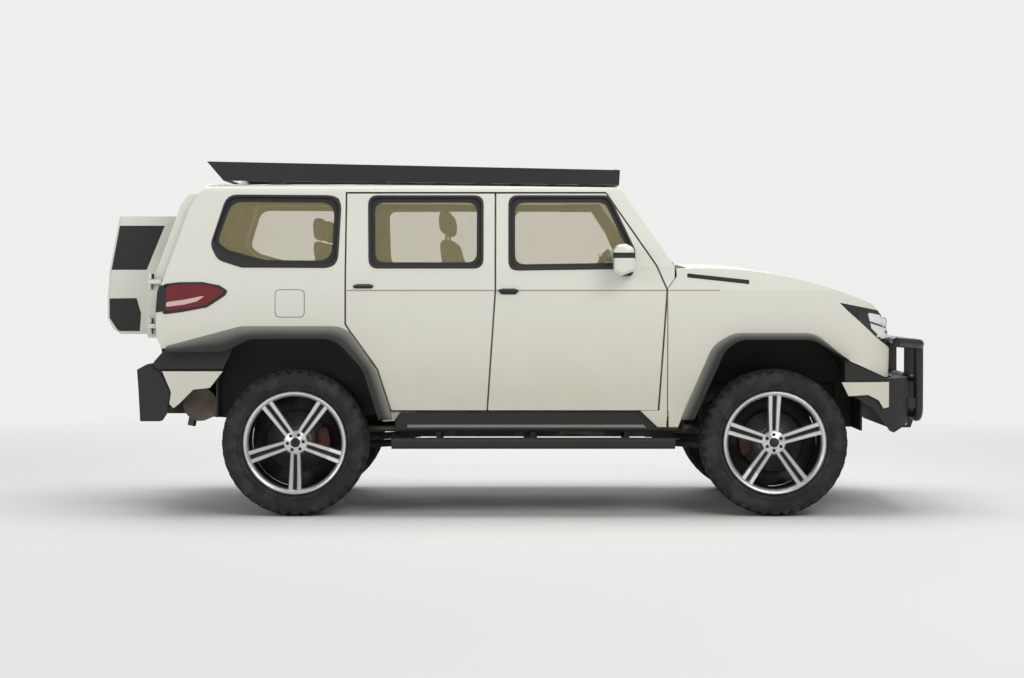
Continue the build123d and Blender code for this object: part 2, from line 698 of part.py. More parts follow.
export_step(front_guard.part, "parts/front_guard.step")

# White corners of both bumpers
FRONT_CORNER = [(1885, 764), (2163, 764), (2163, 620), (2130, 613), (2100, 660), (2036, 692), (1924, 685)]
REAR_CORNER = [
    (-2000, 826),
    (-1655, 826),
    (-1728, 732),
    (-1823, 722),
    (-1900, 645),
    (-1937, 617),
    (-1960, 640),
    (-1950, 708),
]
with BuildPart() as bumper_corners:
    slab(FRONT_CORNER, -1000, -600)
    add(corner_outside, mode=Mode.INTERSECT)
    add(corner_inside, mode=Mode.SUBTRACT)
    slab(REAR_CORNER, -897, -870.3)
    mirror(about=Plane.XZ)
bumper_corners.part.label = "bumper_corners"
export_step(bumper_corners.part, "parts/bumper_corners.step")

# Rear bumper: beam, pods and the wings that carry the white corners. It shares a node with the front one
POD = [
    (-2146, 836),
    (-2091, 866),
    (-2014, 816),
    (-1957, 711),
    (-1977, 597),
    (-2014, 540),
    (-2129, 540),
    (-2139, 732),
]
WING_BAND = [(-1985, 952), (-1600, 952), (-1653, 841), (-2040, 841), (-2050, 880)]
WING = [
    (-1985, 952),
    (-1600, 952),
    (-1660, 826),
    (-1735, 735),
    (-1830, 725),
    (-1900, 650),
    (-1980, 600),
    (-2100, 600),
    (-2060, 850),
]
with BuildPart() as bumpers:
    add(front_bumper.part)
    slab([(-2146, 836), (-2091, 866), (-2050.3, 850), (-2050.3, 620), (-2139, 620)], -800, 800)
    for side in (-1, 1):
        slab(POD, *sorted((side * 786, side * 885)))
        slab(WING, *sorted((side * 840, side * 870)))
        slab(WING_BAND, *sorted((side * 840, side * 888)))
bumpers.part.label = "bumpers"
export_step(bumpers.part, "parts/bumpers.step")


def flare_lip(flare, opening):
    """One arch's flare, from the body's side out to the flares' half width."""
    with BuildPart() as lip:
        slab(flare, -FLARE_Y, -860)
        slab(opening, -1000, -800, mode=Mode.SUBTRACT)
    return lip.part


# Wheel arch flares
front_lip, rear_lip = flare_lip(FRONT_FLARE, FRONT_OPENING), flare_lip(REAR_FLARE, REAR_OPENING)
nose_fitted = nose_form(-FIT)
with BuildPart() as wheel_arch_flares:
    add(front_lip)
    add(rear_lip)
    add(fitted_outside, mode=Mode.SUBTRACT)
    add(nose_fitted, mode=Mode.SUBTRACT)
    mirror(about=Plane.XZ)
wheel_arch_flares.part.label = "wheel_arch_flares"
export_step(wheel_arch_flares.part, "parts/wheel_arch_flares.step")

# Wheelhouse liners: the front ones reach out to the fenders' inside
nose_liner_seat = nose_form(FENDER_WALL + FIT)
with BuildPart() as wheel_liners:
    slab(grown(FRONT_LINER, LINER_WALL), -890, -420)
    slab(FRONT_LINER, -1000, -430, mode=Mode.SUBTRACT)
    add(nose_liner_seat, mode=Mode.INTERSECT)
    block(1890, 2100, -1000, -786, 300, 1100, mode=Mode.SUBTRACT)
    block(900, 1100, -520, -400, 300, 560, mode=Mode.SUBTRACT)
    block(900, 2100, -1000, -400, 300, 480, mode=Mode.SUBTRACT)
    block(900, 1150, -426, -400, 300, 745, mode=Mode.SUBTRACT)
    block(1900, 2100, -426, -400, 300, 745, mode=Mode.SUBTRACT)
    block(1130, 1910, -440, -400, 300, 745, mode=Mode.SUBTRACT)
    slab(grown(REAR_LINER, LINER_WALL), -878, -605)
    slab(REAR_LINER, -1000, -617, mode=Mode.SUBTRACT)
    block(-1800, -1600, -1000, -836, 300, 960, mode=Mode.SUBTRACT)
    block(-1800, -700, -1000, -600, 300, 560, mode=Mode.SUBTRACT)
    mirror(about=Plane.XZ)
wheel_liners.part.label = "wheel_liners"
export_step(wheel_liners.part, "parts/wheel_liners.step")

# Rocker covers and side steps
ROCKER = [(-675, 483), (-546, 592), (823, 592), (823, 483)]
STEP_BRACKET_XS = (-420, 120, 660)
STEP_BRACKET_Z = 426
with BuildPart() as step:
    block(-686, 928, -985, -862, 388, 446)
    chamfer(step.edges().filter_by(Axis.X), 14)
    for x in STEP_BRACKET_XS:
        rod((x, -870, STEP_BRACKET_Z), (x, -RAIL_OUT_Y - FIT, STEP_BRACKET_Z), 16)
        block(x - 14, x + 14, -866, -846, 430, 500)

with BuildPart() as side_steps:
    slab(ROCKER, -872, -790)
    block(-800, 1000, -850 - FIT, -700, FLOOR_Z - FIT, 620, mode=Mode.SUBTRACT)
    add(step.part)
    mirror(about=Plane.XZ)
side_steps.part.label = "side_steps"
export_step(side_steps.part, "parts/side_steps.step")

# Tail lamps, which share a node with the headlamps
LAMP_PROUD = 5
lamp_face_form = cab_form(-LAMP_PROUD)
lamp_back_form = cab_form(FENDER_WALL, end_inset=0)
with BuildPart() as lamps:
    add(lamp_face_form)
    add(lamp_back_form, mode=Mode.SUBTRACT)
    slab(TAIL_LAMP, -1000, -830, mode=Mode.INTERSECT)
    add(headlamp.part)
    mirror(about=Plane.XZ)
lamps.part.label = "lamps"
export_step(lamps.part, "parts/lamps.step")

# Tailgate, hung on the right-hand side, with its window and its box


def tail_band(near, far):
    """Side outline of the band that lies between two distances behind the body's rear edge."""
    return [(x - near, z) for x, z in TAIL_EDGE] + [(x - far, z) for x, z in reversed(TAIL_EDGE)]


TAILGATE_FACE = [(-790, TAILGATE_LOW_Z), (790, TAILGATE_LOW_Z), (800, CREASE_Z), (785, BELT_Z), (700, DOOR_TOP_Z)]
TAILGATE_FACE += [(-700, DOOR_TOP_Z), (-785, BELT_Z), (-800, CREASE_Z)]
TAILGATE_WINDOW = [(-640, 1440), (640, 1440), (585, 1800), (-585, 1800)]
with BuildPart() as tailgate:
    slab(tail_band(PANEL_GAP, PANEL_GAP + TAILGATE_WALL), -900, 900)
    across(TAILGATE_FACE, -2200, -1700, mode=Mode.INTERSECT)
    across(TAILGATE_WINDOW, -2200, -1700, mode=Mode.SUBTRACT, corner=WINDOW_CORNER)
    for z in TAIL_HINGE_HEIGHTS:
        foot, head = (TAIL_HINGE_X, -TAIL_HINGE_Y, z - BARREL_HALF), (TAIL_HINGE_X, -TAIL_HINGE_Y, z + BARREL_HALF)
        rod(foot, head, BARREL_RADIUS + 2)
        block(TAIL_HINGE_X - 12, TAIL_HINGE_X + 12, -TAIL_HINGE_Y, -740, z - BARREL_HALF, z + BARREL_HALF)
        block(TAIL_HINGE_X - 30, TAIL_HINGE_X + 30, -850, -801, z - NOTCH_HALF, z + NOTCH_HALF, mode=Mode.SUBTRACT)
        rod((TAIL_HINGE_X, -TAIL_HINGE_Y, z - 60), (TAIL_HINGE_X, -TAIL_HINGE_Y, z + 60), BORE_RADIUS,
            mode=Mode.SUBTRACT)
tailgate.part.label = "tailgate"
export_step(tailgate.part, "parts/tailgate.step")

with BuildPart() as tailgate_window:
    slab(tail_band(PANEL_GAP + 40, PANEL_GAP + 46), -900, 900)
    across(grown(TAILGATE_WINDOW, -FIT), -2200, -1700, mode=Mode.INTERSECT, corner=WINDOW_CORNER)
tailgate_window.part.label = "tailgate_window"
export_step(tailgate_window.part, "parts/tailgate_window.step")

# Box on the tailgate, its dark side panels sunk below a white border
BOX_Y = 380
BOX_SEAT = PANEL_GAP + TAILGATE_WALL + FIT
BOX_REAR = [(-2331, 1727), (-2392, 1410), (-HALF_LENGTH, 1242), (-HALF_LENGTH, 1122), (-2372, 1058), (-2330, 1029)]
BOX_SIDE = [(-1870 - BOX_SEAT, 1727), *BOX_REAR, (-2031 - BOX_SEAT, 1029)]
BOX_PANELS = [
    [(-2329, 1672), (-2061, 1672), (-2170, 1410), (-2382, 1410)],
    [(-2393, 1242), (-2230, 1242), (-2204, 1151), (-2212, 1046), (-2340, 1046), (-2393, 1124)],
]
PANEL_POCKET = 6
with BuildPart() as rear_box:
    slab(BOX_SIDE, -BOX_Y, BOX_Y)
    slab(tail_band(-200, BOX_SEAT), -BOX_Y, BOX_Y, mode=Mode.SUBTRACT)
    chamfer(rear_box.edges().filter_by(GeomType.LINE).filter_by(lambda edge: edge.center().X < -2300 and
                                                              abs(edge.center().Y) > BOX_Y - 1), 18)
    for panel in BOX_PANELS:
        slab(panel, -BOX_Y - 10, PANEL_POCKET - BOX_Y, mode=Mode.SUBTRACT)
        slab(panel, BOX_Y - PANEL_POCKET, BOX_Y + 10, mode=Mode.SUBTRACT)
rear_box.part.label = "rear_box"
export_step(rear_box.part, "parts/rear_box.step")

# Ladder frame: two kicked-up rails, crossmembers, body mounts and the hitch receiver
RAIL_LINE = [(RAIL_FRONT_X, 685), (1170, 685), (940, 475), (-640, 475), (-900, 700), (-1560, 700), (-1760, 640)]
RAIL_LINE += [(RAIL_REAR_X, 640)]
CROSSMEMBERS = [
    # x_low, x_high, z_low, z_high
    (2090, 2150, 640, 730),
    (1185, 1235, 632, 682),
    (70, 150, 396, 436),
    (-780, -730, 560, 620),
    (-1440, -1390, 650, 745),
    (-2045, -1985, 590, 690),
]
RECEIVER_X = -2160
RECEIVER_Z = 570
RECEIVER_SIDE = 66
RECEIVER_BORE = 51
HITCH_PIN_X = -2110
HITCH_PIN_RADIUS = 8
with BuildPart() as ladder_frame:
    half = RAIL_DEPTH / 2
    upper = [(x, z + half) for x, z in RAIL_LINE]
    lower = [(x, z - half) for x, z in reversed(RAIL_LINE)]
    slab(upper + lower, -RAIL_OUT_Y, -RAIL_IN_Y)
    mirror(about=Plane.XZ)
    for x_low, x_high, z_low, z_high in CROSSMEMBERS:
        block(x_low, x_high, -RAIL_IN_Y - 10, RAIL_IN_Y + 10, z_low, z_high)
    for x, top in ((700, FLOOR_Z), (0, FLOOR_Z), (-560, FLOOR_Z), (-1000, REAR_FLOOR_Z), (-1540, REAR_FLOOR_Z)):
        for y in (-365, 365):
            rod((x, y, top - 20), (x, y, top - FIT), 32)
    block(RECEIVER_X, -1990, -RECEIVER_SIDE / 2, RECEIVER_SIDE / 2, RECEIVER_Z - 33, RECEIVER_Z + 33)
    block(RECEIVER_X - 1, -2040, -RECEIVER_BORE / 2, RECEIVER_BORE / 2, RECEIVER_Z - 25.5, RECEIVER_Z + 25.5,
          mode=Mode.SUBTRACT)
    rod((HITCH_PIN_X, -60, RECEIVER_Z), (HITCH_PIN_X, 60, RECEIVER_Z), HITCH_PIN_RADIUS, mode=Mode.SUBTRACT)
ladder_frame.part.label = "ladder_frame"
export_step(ladder_frame.part, "parts/ladder_frame.step")

# Engine, gearbox and shafts, as plain masses
DIFF_Y = -160
PINION_Z = 440
FRONT_FLANGE_X = 1330
REAR_FLANGE_X = -1055
with BuildPart() as powertrain:
    block(1090, 1700, -240, 240, 720, 1190)
    chamfer(powertrain.edges().filter_by(Axis.X), 50)
    across([(-170, 640), (170, 640), (130, 760), (-130, 760)], 380, 1095)
    rod((1095, 0, 765), (965, 0, 740), 140)
    rod((1000, 0, 640), (330, 0, 590), 105)
    block(-20, 400, -182, 150, 436.3, 630)
    rod((60, DIFF_Y, 500), (FRONT_FLANGE_X - 20, DIFF_Y, PINION_Z), 30)
    rod((FRONT_FLANGE_X - 30, DIFF_Y, PINION_Z), (FRONT_FLANGE_X - FIT, DIFF_Y, PINION_Z), 42)
    rod((-10, 0, 520), (REAR_FLANGE_X + 20, 0, PINION_Z), 34)
    rod((REAR_FLANGE_X + 30, 0, PINION_Z), (REAR_FLANGE_X + FIT, 0, PINION_Z), 46)
    for side in (-1, 1):
        block(1380, 1460, *sorted((side * 230, side * (RAIL_IN_Y - FIT))), 660, 760)
powertrain.part.label = "powertrain"
export_step(powertrain.part, "parts/powertrain.step")

# Exhaust along the right-hand rail to the silencer behind the rear wheel
SILENCER_X = -1812
with BuildPart() as exhaust:
    tube_run(
        [
            (1150, -250, 600),
            (1120, -250, 510),
            (1060, -455, 480),
            (-900, -455, 480),
            (-1080, -455, 585),
            (-1420, -455, 585),
            (SILENCER_X, -470, 628),
        ],
        26,
        35,
    )
    rod((SILENCER_X, -690, 628), (SILENCER_X, -430, 628), 98)
    rod((SILENCER_X - 40, -620, 600), (SILENCER_X - 60, -620, 500), 24)
    block(SILENCER_X - 12, SILENCER_X + 12, -440, -RAIL_OUT_Y - FIT, 600, 660)
    block(280, 460, -500, -410, 440, 520)
exhaust.part.label = "exhaust"
export_step(exhaust.part, "parts/exhaust.step")

TANK = [(-1500, 730), (-1930, 660), (-1930, 540), (-1560, 520), (-1480, 560), (-1480, 730)]
with BuildPart() as fuel_tank:
    slab(TANK, -310, RAIL_IN_Y - FIT)
fuel_tank.part.label = "fuel_tank"
export_step(fuel_tank.part, "parts/fuel_tank.step")

# Solid axles. The front one ends in yokes that hold the knuckles' kingpins
YOKE_EAR_LOW = 88
YOKE_EAR_HIGH = 125
with BuildPart() as casing:
    rod((FRONT_AXLE_X, DIFF_Y - 80, AXLE_Z), (FRONT_AXLE_X, DIFF_Y + 80, AXLE_Z), 135)
    chamfer(casing.edges().filter_by(GeomType.CIRCLE), 45)

with BuildPart() as rear_casing:
    rod((REAR_AXLE_X, -85, AXLE_Z), (REAR_AXLE_X, 85, AXLE_Z), 150)
    chamfer(rear_casing.edges().filter_by(GeomType.CIRCLE), 50)

with BuildPart() as axles:
    rod((FRONT_AXLE_X, -600, AXLE_Z), (FRONT_AXLE_X, 600, AXLE_Z), AXLE_RADIUS)
    add(casing.part)
    rod((FRONT_AXLE_X, DIFF_Y, PINION_Z), (FRONT_FLANGE_X, DIFF_Y, PINION_Z), 52)
    for side in (-1, 1):
        block(FRONT_AXLE_X - 38, FRONT_AXLE_X + 38, *sorted((side * 590, side * 640)),
              AXLE_Z - YOKE_EAR_HIGH, AXLE_Z + YOKE_EAR_HIGH)
        for z in (AXLE_Z - YOKE_EAR_HIGH, AXLE_Z + YOKE_EAR_LOW):
            block(FRONT_AXLE_X - 38, FRONT_AXLE_X + 38, *sorted((side * 590, side * 724)), z, z + 37)
        block(FRONT_AXLE_X - 60, FRONT_AXLE_X + 60, *sorted((side * 315, side * 415)), 440, 470)
        y = side * KINGPIN_Y
        rod((FRONT_AXLE_X, y, AXLE_Z - 140), (FRONT_AXLE_X, y, AXLE_Z + 140), KINGPIN_RADIUS + 0.5,
            mode=Mode.SUBTRACT)
    rod((REAR_AXLE_X, -SPINDLE_END_Y, AXLE_Z), (REAR_AXLE_X, SPINDLE_END_Y, AXLE_Z), SPINDLE_RADIUS)
    rod((REAR_AXLE_X, -720, AXLE_Z), (REAR_AXLE_X, 720, AXLE_Z), AXLE_RADIUS + 5)
    add(rear_casing.part)
    rod((REAR_AXLE_X, 0, PINION_Z), (REAR_FLANGE_X, 0, PINION_Z), 58)
    for side in (-1, 1):
        block(REAR_AXLE_X - 60, REAR_AXLE_X + 60, *sorted((side * 315, side * 415)), 440, 470)
axles.part.label = "axles"
export_step(axles.part, "parts/axles.step")

# Springs, dampers and links
SUSPENSION = [
    # axle x, axle tube's radius, rail's underside, x and underside of the rail where the link ends
    (FRONT_AXLE_X, AXLE_RADIUS, 630, 860, 420),
    (REAR_AXLE_X, AXLE_RADIUS + 5, 645, -600, 420),
]
with BuildPart() as suspension:
    for axle_x, tube_radius, rail_z, link_x, link_z in SUSPENSION:
        rod((axle_x, -365, 470 + FIT), (axle_x, -365, rail_z - FIT), 55)
        foot_x = axle_x + tube_radius + FIT
        block(foot_x, foot_x + 70, -385, -345, 385, 430)
        rod((foot_x + 50, -365, 400), (foot_x + 70, -365, rail_z - 6), 22)
        block(axle_x - 30, axle_x + 30, -330, -270, 320, AXLE_Z - tube_radius - FIT)
        rod((axle_x, -300, 345), (link_x, -365, 388), 22)
        block(link_x - 26, link_x + 26, -391, -339, 366, link_z - FIT)
    mirror(about=Plane.XZ)
suspension.part.label = "suspension"
export_step(suspension.part, "parts/suspension.step")

# Steering knuckles
KNUCKLE_TALL = YOKE_EAR_LOW - 0.5
with BuildPart() as knuckle_right:
    block(FRONT_AXLE_X - 28, FRONT_AXLE_X + 28, -724, -662, AXLE_Z - KNUCKLE_TALL, AXLE_Z + KNUCKLE_TALL)
    rod((FRONT_AXLE_X, -KINGPIN_Y, AXLE_Z - 124), (FRONT_AXLE_X, -KINGPIN_Y, AXLE_Z + 124), KINGPIN_RADIUS)
    rod((FRONT_AXLE_X, -KINGPIN_Y, AXLE_Z), (FRONT_AXLE_X, -SPINDLE_END_Y, AXLE_Z), SPINDLE_RADIUS)
knuckle_right.part.label = "knuckle_right"
export_step(knuckle_right.part, "parts/knuckle_right.step")

with BuildPart() as knuckle_left:
    mirror(knuckle_right.part, about=Plane.XZ)
knuckle_left.part.label = "knuckle_left"
export_step(knuckle_left.part, "parts/knuckle_left.step")

# Tyres: half of the section as (distance from the wheel's middle plane, radius). Their rings have flat sides,
# so that the shoulder lugs stay light
BEAD_HALF = 127.7
TYRE_HALF = [
    (BEAD_HALF, BEAD_RADIUS + 10),
    (BEAD_HALF, RIM_RADIUS + 1),
    (150, 322),
    (TYRE_WIDTH / 2, 352),
    (154, 386),
    (136, 408),
    (96, TYRE_RADIUS),
]
TYRE_SIDES = 56
LUG_GAP = 20
LUG_DEPTH = 14


def tyre_rings(side):
    """The flat-sided rings that a tyre's half is lofted through, from its middle plane outwards."""
    rings = []
    for half_width, radius in [(0, TYRE_RADIUS), *reversed(TYRE_HALF[1:])]:
        with BuildSketch(Plane.YZ.offset(side * half_width)) as ring:
            RegularPolygon(radius, TYRE_SIDES)
        rings.append(ring.sketch)
    return rings


# Gaps between the shoulder lugs, in step on one side with the lugs on the other
lug_gaps = [
    Location((0, 0, 0), (360 / TYRE_SIDES * (2 * number + 1 - side / 2), 0, 0))
    * Location((side * 136, 0, TYRE_RADIUS))
    for side in (-1, 1)
    for number in range(TYRE_SIDES // 2)
]
with BuildPart() as tyre:
    for side in (-1, 1):
        loft(tyre_rings(side), ruled=True)
    with Locations(*lug_gaps):
        Box(64, LUG_GAP, 2 * LUG_DEPTH, mode=Mode.SUBTRACT)
    with BuildSketch(Plane.YZ):
        RegularPolygon(BEAD_RADIUS / 0.998, TYRE_SIDES)
    extrude(amount=TYRE_WIDTH, both=True, mode=Mode.SUBTRACT)

# Wheels: barrel, hub and five double spokes
SPOKES = 5
SPOKE_APART = 46
SPOKE_WIDTH = 26
HUB_RADIUS = 78
SPINDLE_BORE = SPINDLE_RADIUS + 1
HUB = [
    (-40, SPINDLE_BORE),
    (-40, 70),
    (20, HUB_RADIUS),
    (88, 60),
    (92, 40),
    (92, 0),
    (0, 0),
    (0, SPINDLE_BORE),
]
RIM_HALF = [(136, 284.7), (136, RIM_RADIUS), (128, RIM_RADIUS), (128, 284.7)]
with BuildPart() as spoke:
    with BuildSketch(Plane.XZ):
        with BuildLine():
            Polyline((40, 50), (86, 50), (118, 272), (118, 276), (70, 276), (70, 272), close=True)
        make_face()
    extrude(amount=SPOKE_WIDTH / 2, both=True)

with BuildPart() as rim:
    with BuildSketch(Plane.XZ):
        with BuildLine():
            mirrored = [(-half_width, radius) for half_width, radius in reversed(RIM_HALF)]
            Polyline((136, 270), *RIM_HALF, *mirrored, (-136, 270), close=True)
        make_face()
    revolve(axis=Axis.X)
    with BuildSketch(Plane.XZ):
        with BuildLine():
            Polyline(*HUB, close=True)
        make_face()
    revolve(axis=Axis.X)
    for number in range(SPOKES):
        turn = 360 / SPOKES * number
        for side in (-1, 1):
            add(spoke.part.moved(Location((0, side * SPOKE_APART / 2, 0))).rotate(Axis.X, turn))

# Each wheel's axle place, side (-1 on the right) and turn about its axle
WHEELS = [
    # name, axle x, side, turn
    ("front_right", FRONT_AXLE_X, -1, 0),
    ("front_left", FRONT_AXLE_X, 1, 0),
    ("rear_right", REAR_AXLE_X, -1, 36),
    ("rear_left", REAR_AXLE_X, 1, 36),
]
for name, axle_x, side, turn in WHEELS:
    place = Location((axle_x, side * WHEEL_Y, AXLE_Z), (0, 0, 90 * side))
    with BuildPart() as wheel_tyre:
        add(tyre.part.moved(place))
    wheel_tyre.part.label = f"tyre_{name}"
    export_step(wheel_tyre.part, f"parts/tyre_{name}.step")
    with BuildPart() as wheel_rim:
        add(rim.part.rotate(Axis.X, turn).moved(place))
    wheel_rim.part.label = f"rim_{name}"
    export_step(wheel_rim.part, f"parts/rim_{name}.step")

# Dashboard with the steering column's shroud
DASH = [(880 - FIT, 1060), (880 - FIT, 1335), (740, 1322), (590, 1270), (560, 1180), (640, 1060)]
HUB_LENGTH = 47
COLUMN_Y = 370
COLUMN_TOP = (505, COLUMN_Y, 1372)
COLUMN_FOOT = (690, COLUMN_Y, 1262)
column_axis = (Vector(*COLUMN_FOOT) - Vector(*COLUMN_TOP)).normalized()
with BuildPart() as dashboard:
    slab(DASH, -764, 764)
    rod(tuple(Vector(*COLUMN_TOP) + column_axis * (HUB_LENGTH + FIT)), COLUMN_FOOT, 34)
    block(400, 880 - FIT, -150, 150, 800 + FIT, 1065)
dashboard.part.label = "dashboard"
export_step(dashboard.part, "parts/dashboard.step")

WHEEL_RING = 185
WHEEL_GRIP = 15
with BuildPart() as wheel_grip:
    with BuildSketch(Plane.XZ):
        with Locations((WHEEL_RING, 0)):
            RegularPolygon(WHEEL_GRIP, 8)
    revolve(axis=Axis.Z)

with BuildPart() as steering_wheel:
    add(wheel_grip.part.moved(Location(Plane(origin=COLUMN_TOP, z_dir=column_axis))))
    with Locations(Plane(origin=COLUMN_TOP, z_dir=column_axis)):
        Cylinder(58, 34)
        Cylinder(20, HUB_LENGTH, align=(Align.CENTER, Align.CENTER, Align.MIN))
        Box(2 * WHEEL_RING, 30, 16)
    with Locations(Plane(origin=COLUMN_TOP, z_dir=column_axis, x_dir=(0, 1, 0))):
        with Locations((0, WHEEL_RING / 2, 0)):
            Box(30, WHEEL_RING, 16)
steering_wheel.part.label = "steering_wheel"
export_step(steering_wheel.part, "parts/steering_wheel.step")

# Front seats and the rear bench
SEAT_TOP_Z = 985
FRONT_SEAT = [
    # side outlines of one cushion, back and headrest
    [(255, 835), (270, 965), (240, SEAT_TOP_Z), (-225, 965), (-250, 835)],
    [(-232, 875), (-190, 945), (-325, 1600), (-400, 1605), (-425, 1590), (-320, 875)],
    [(-345, 1618), (-362, 1765), (-430, 1770), (-425, 1618)],
]
REAR_SEAT = [
    [(-470, 845), (-470, 970), (-500, SEAT_TOP_Z), (-960, 965), (-980, 845)],
    [(-962, 885), (-925, 955), (-1085, 1590), (-1170, 1590), (-1060, 885)],
]
with BuildPart() as seats:
    for y in (-370, 370):
        for outline in FRONT_SEAT[:2]:
            slab(outline, y - 255, y + 255, corner=12)
        slab(FRONT_SEAT[2], y - 130, y + 130, corner=12)
        block(-395, -385, y - 60, y + 60, 1590, 1640)
        block(-200, 220, y - 120, y + 120, FLOOR_Z + FLOOR_WALL + FIT, 845)
    for outline in REAR_SEAT:
        slab(outline, -595, 595, corner=12)
    for y in (-330, 330):
        slab([(-1095, 1580), (-1112, 1720), (-1180, 1722), (-1172, 1580)], y - 120, y + 120, corner=10)
    block(-940, -500, -560, 560, REAR_FLOOR_Z + FLOOR_WALL + FIT, 855)
seats.part.label = "seats"
export_step(seats.part, "parts/seats.step")

# Door mirrors
MIRROR_HEAD = [(704, 1400), (690, 1520), (640, 1542), (592, 1536), (572, 1500), (572, 1392), (620, 1376)]
with BuildPart() as mirror_right:
    slab(MIRROR_HEAD, -1075, -905, corner=14)
    slab([(690, 1392), (690, 1432), (610, 1432), (610, 1392)], -940, -840)
    add(fitted_outside, mode=Mode.SUBTRACT)
mirror_right.part.label = "mirror_right"
export_step(mirror_right.part, "parts/mirror_right.step")

with BuildPart() as mirror_left:
    mirror(mirror_right.part, about=Plane.XZ)
mirror_left.part.label = "mirror_left"
export_step(mirror_left.part, "parts/mirror_left.step")
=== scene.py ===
"""Looks for a lifted five-door off-road 4x4. Metres, +X forward, +Y to the vehicle's left, +Z up."""

import math

import bmesh
import bpy
from mathutils import Matrix, Vector
from mathutils.bvhtree import BVHTree


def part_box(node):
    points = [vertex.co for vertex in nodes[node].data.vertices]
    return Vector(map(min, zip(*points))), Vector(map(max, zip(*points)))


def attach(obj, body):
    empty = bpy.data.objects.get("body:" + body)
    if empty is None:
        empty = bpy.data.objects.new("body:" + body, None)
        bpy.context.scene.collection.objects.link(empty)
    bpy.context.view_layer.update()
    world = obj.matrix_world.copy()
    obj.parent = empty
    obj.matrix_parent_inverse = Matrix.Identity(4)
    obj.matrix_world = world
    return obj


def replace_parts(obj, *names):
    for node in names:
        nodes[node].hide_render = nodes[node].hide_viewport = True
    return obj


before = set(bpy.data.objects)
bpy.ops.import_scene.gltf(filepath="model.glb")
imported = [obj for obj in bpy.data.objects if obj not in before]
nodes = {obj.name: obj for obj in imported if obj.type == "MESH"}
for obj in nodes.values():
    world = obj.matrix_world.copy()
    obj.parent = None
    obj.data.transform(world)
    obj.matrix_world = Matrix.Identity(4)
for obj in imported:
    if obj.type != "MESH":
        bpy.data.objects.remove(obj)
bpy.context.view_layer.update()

# The view and its light: the camera stands where the photograph's did, square to the right-hand side, with a
# longer lens. A pale floor and large soft lamps light the vehicle evenly.
CAMERA_Y = -13.735
CAMERA_Z = 1.32
AIM = Vector((0.0, 0.0, 0.99))
LENS = 79.0
FLOOR_COLOUR = (0.80, 0.79, 0.77, 1)
BACKDROP_COLOUR = (0.86, 0.86, 0.85, 1)
SKY_COLOUR, SKY_STRENGTH = (0.93, 0.96, 1.0, 1), 0.36
FLOOR_SIZE = 80
# The floor fades into the backdrop's colour between these distances from the vehicle
FADE_START, FADE_END = 3.4, 10.0

camera = bpy.data.objects.new("camera", bpy.data.cameras.new("camera"))
camera.data.lens = LENS
camera.data.clip_end = 200
camera.location = (0, CAMERA_Y, CAMERA_Z)
camera.rotation_euler = (AIM - camera.location).to_track_quat("-Z", "Y").to_euler()
bpy.context.collection.objects.link(camera)
bpy.context.scene.camera = camera
bpy.context.scene.view_settings.view_transform = "Standard"


def soft_lamp(name, place, aim, width, height, power, colour=(1, 1, 1)):
    """A large rectangular lamp at a place, turned towards a point."""
    lamp = bpy.data.objects.new(name, bpy.data.lights.new(name, "AREA"))
    lamp.data.shape = "RECTANGLE"
    lamp.data.size, lamp.data.size_y = width, height
    lamp.data.energy, lamp.data.color = power, colour
    lamp.location = place
    lamp.rotation_euler = (Vector(aim) - Vector(place)).to_track_quat("-Z", "Y").to_euler()
    bpy.context.collection.objects.link(lamp)


soft_lamp("key_lamp", (4.5, -8.0, 6.5), (0.2, 0, 0.9), 6.0, 4.0, 330, (1.0, 0.985, 0.95))
soft_lamp("fill_lamp", (-6.5, -7.0, 3.2), (-0.5, 0, 0.9), 5.0, 3.0, 130, (0.95, 0.98, 1.0))
soft_lamp("roof_lamp", (0, 0.5, 7.5), (0, 0, 0), 9.0, 5.0, 400)
soft_lamp("far_lamp", (0, 9.0, 4.5), (0, 0, 1.0), 8.0, 3.0, 260)


def link(tree, *pairs):
    """Joins outputs to inputs in a node tree."""
    for start, end in pairs:
        tree.links.new(start, end)


world = bpy.data.worlds.new("studio")
bpy.context.scene.world = world
world.use_nodes = True
sky = world.node_tree
rays = sky.nodes.new("ShaderNodeLightPath")
seen = sky.nodes.new("ShaderNodeMath")
seen.operation = "MAXIMUM"
backdrop = sky.nodes.new("ShaderNodeBackground")
backdrop.inputs["Color"].default_value = BACKDROP_COLOUR
glow = sky.nodes["Background"]
glow.inputs["Color"].default_value = SKY_COLOUR
glow.inputs["Strength"].default_value = SKY_STRENGTH
either = sky.nodes.new("ShaderNodeMixShader")
link(
    sky,
    (rays.outputs["Is Camera Ray"], seen.inputs[0]),
    (rays.outputs["Is Transmission Ray"], seen.inputs[1]),
    (seen.outputs[0], either.inputs[0]),
    (glow.outputs[0], either.inputs[1]),
    (backdrop.outputs[0], either.inputs[2]),
    (either.outputs[0], sky.nodes["World Output"].inputs["Surface"]),
)

bpy.ops.mesh.primitive_plane_add(size=FLOOR_SIZE)
floor = bpy.context.object
floor.name = "floor"
floor_paint = bpy.data.materials.new("floor_paint")
floor_paint.use_nodes = True
floor_tree = floor_paint.node_tree
floor_shader = floor_tree.nodes["Principled BSDF"]
floor_shader.inputs["Base Color"].default_value = FLOOR_COLOUR
floor_shader.inputs["Roughness"].default_value = 0.9
floor_place = floor_tree.nodes.new("ShaderNodeTexCoord")
floor_length = floor_tree.nodes.new("ShaderNodeVectorMath")
floor_length.operation = "LENGTH"
floor_fade = floor_tree.nodes.new("ShaderNodeMapRange")
floor_fade.interpolation_type = "SMOOTHSTEP"
floor_fade.inputs["From Min"].default_value = FADE_START
floor_fade.inputs["From Max"].default_value = FADE_END
floor_glow = floor_tree.nodes.new("ShaderNodeEmission")
floor_glow.inputs["Color"].default_value = BACKDROP_COLOUR
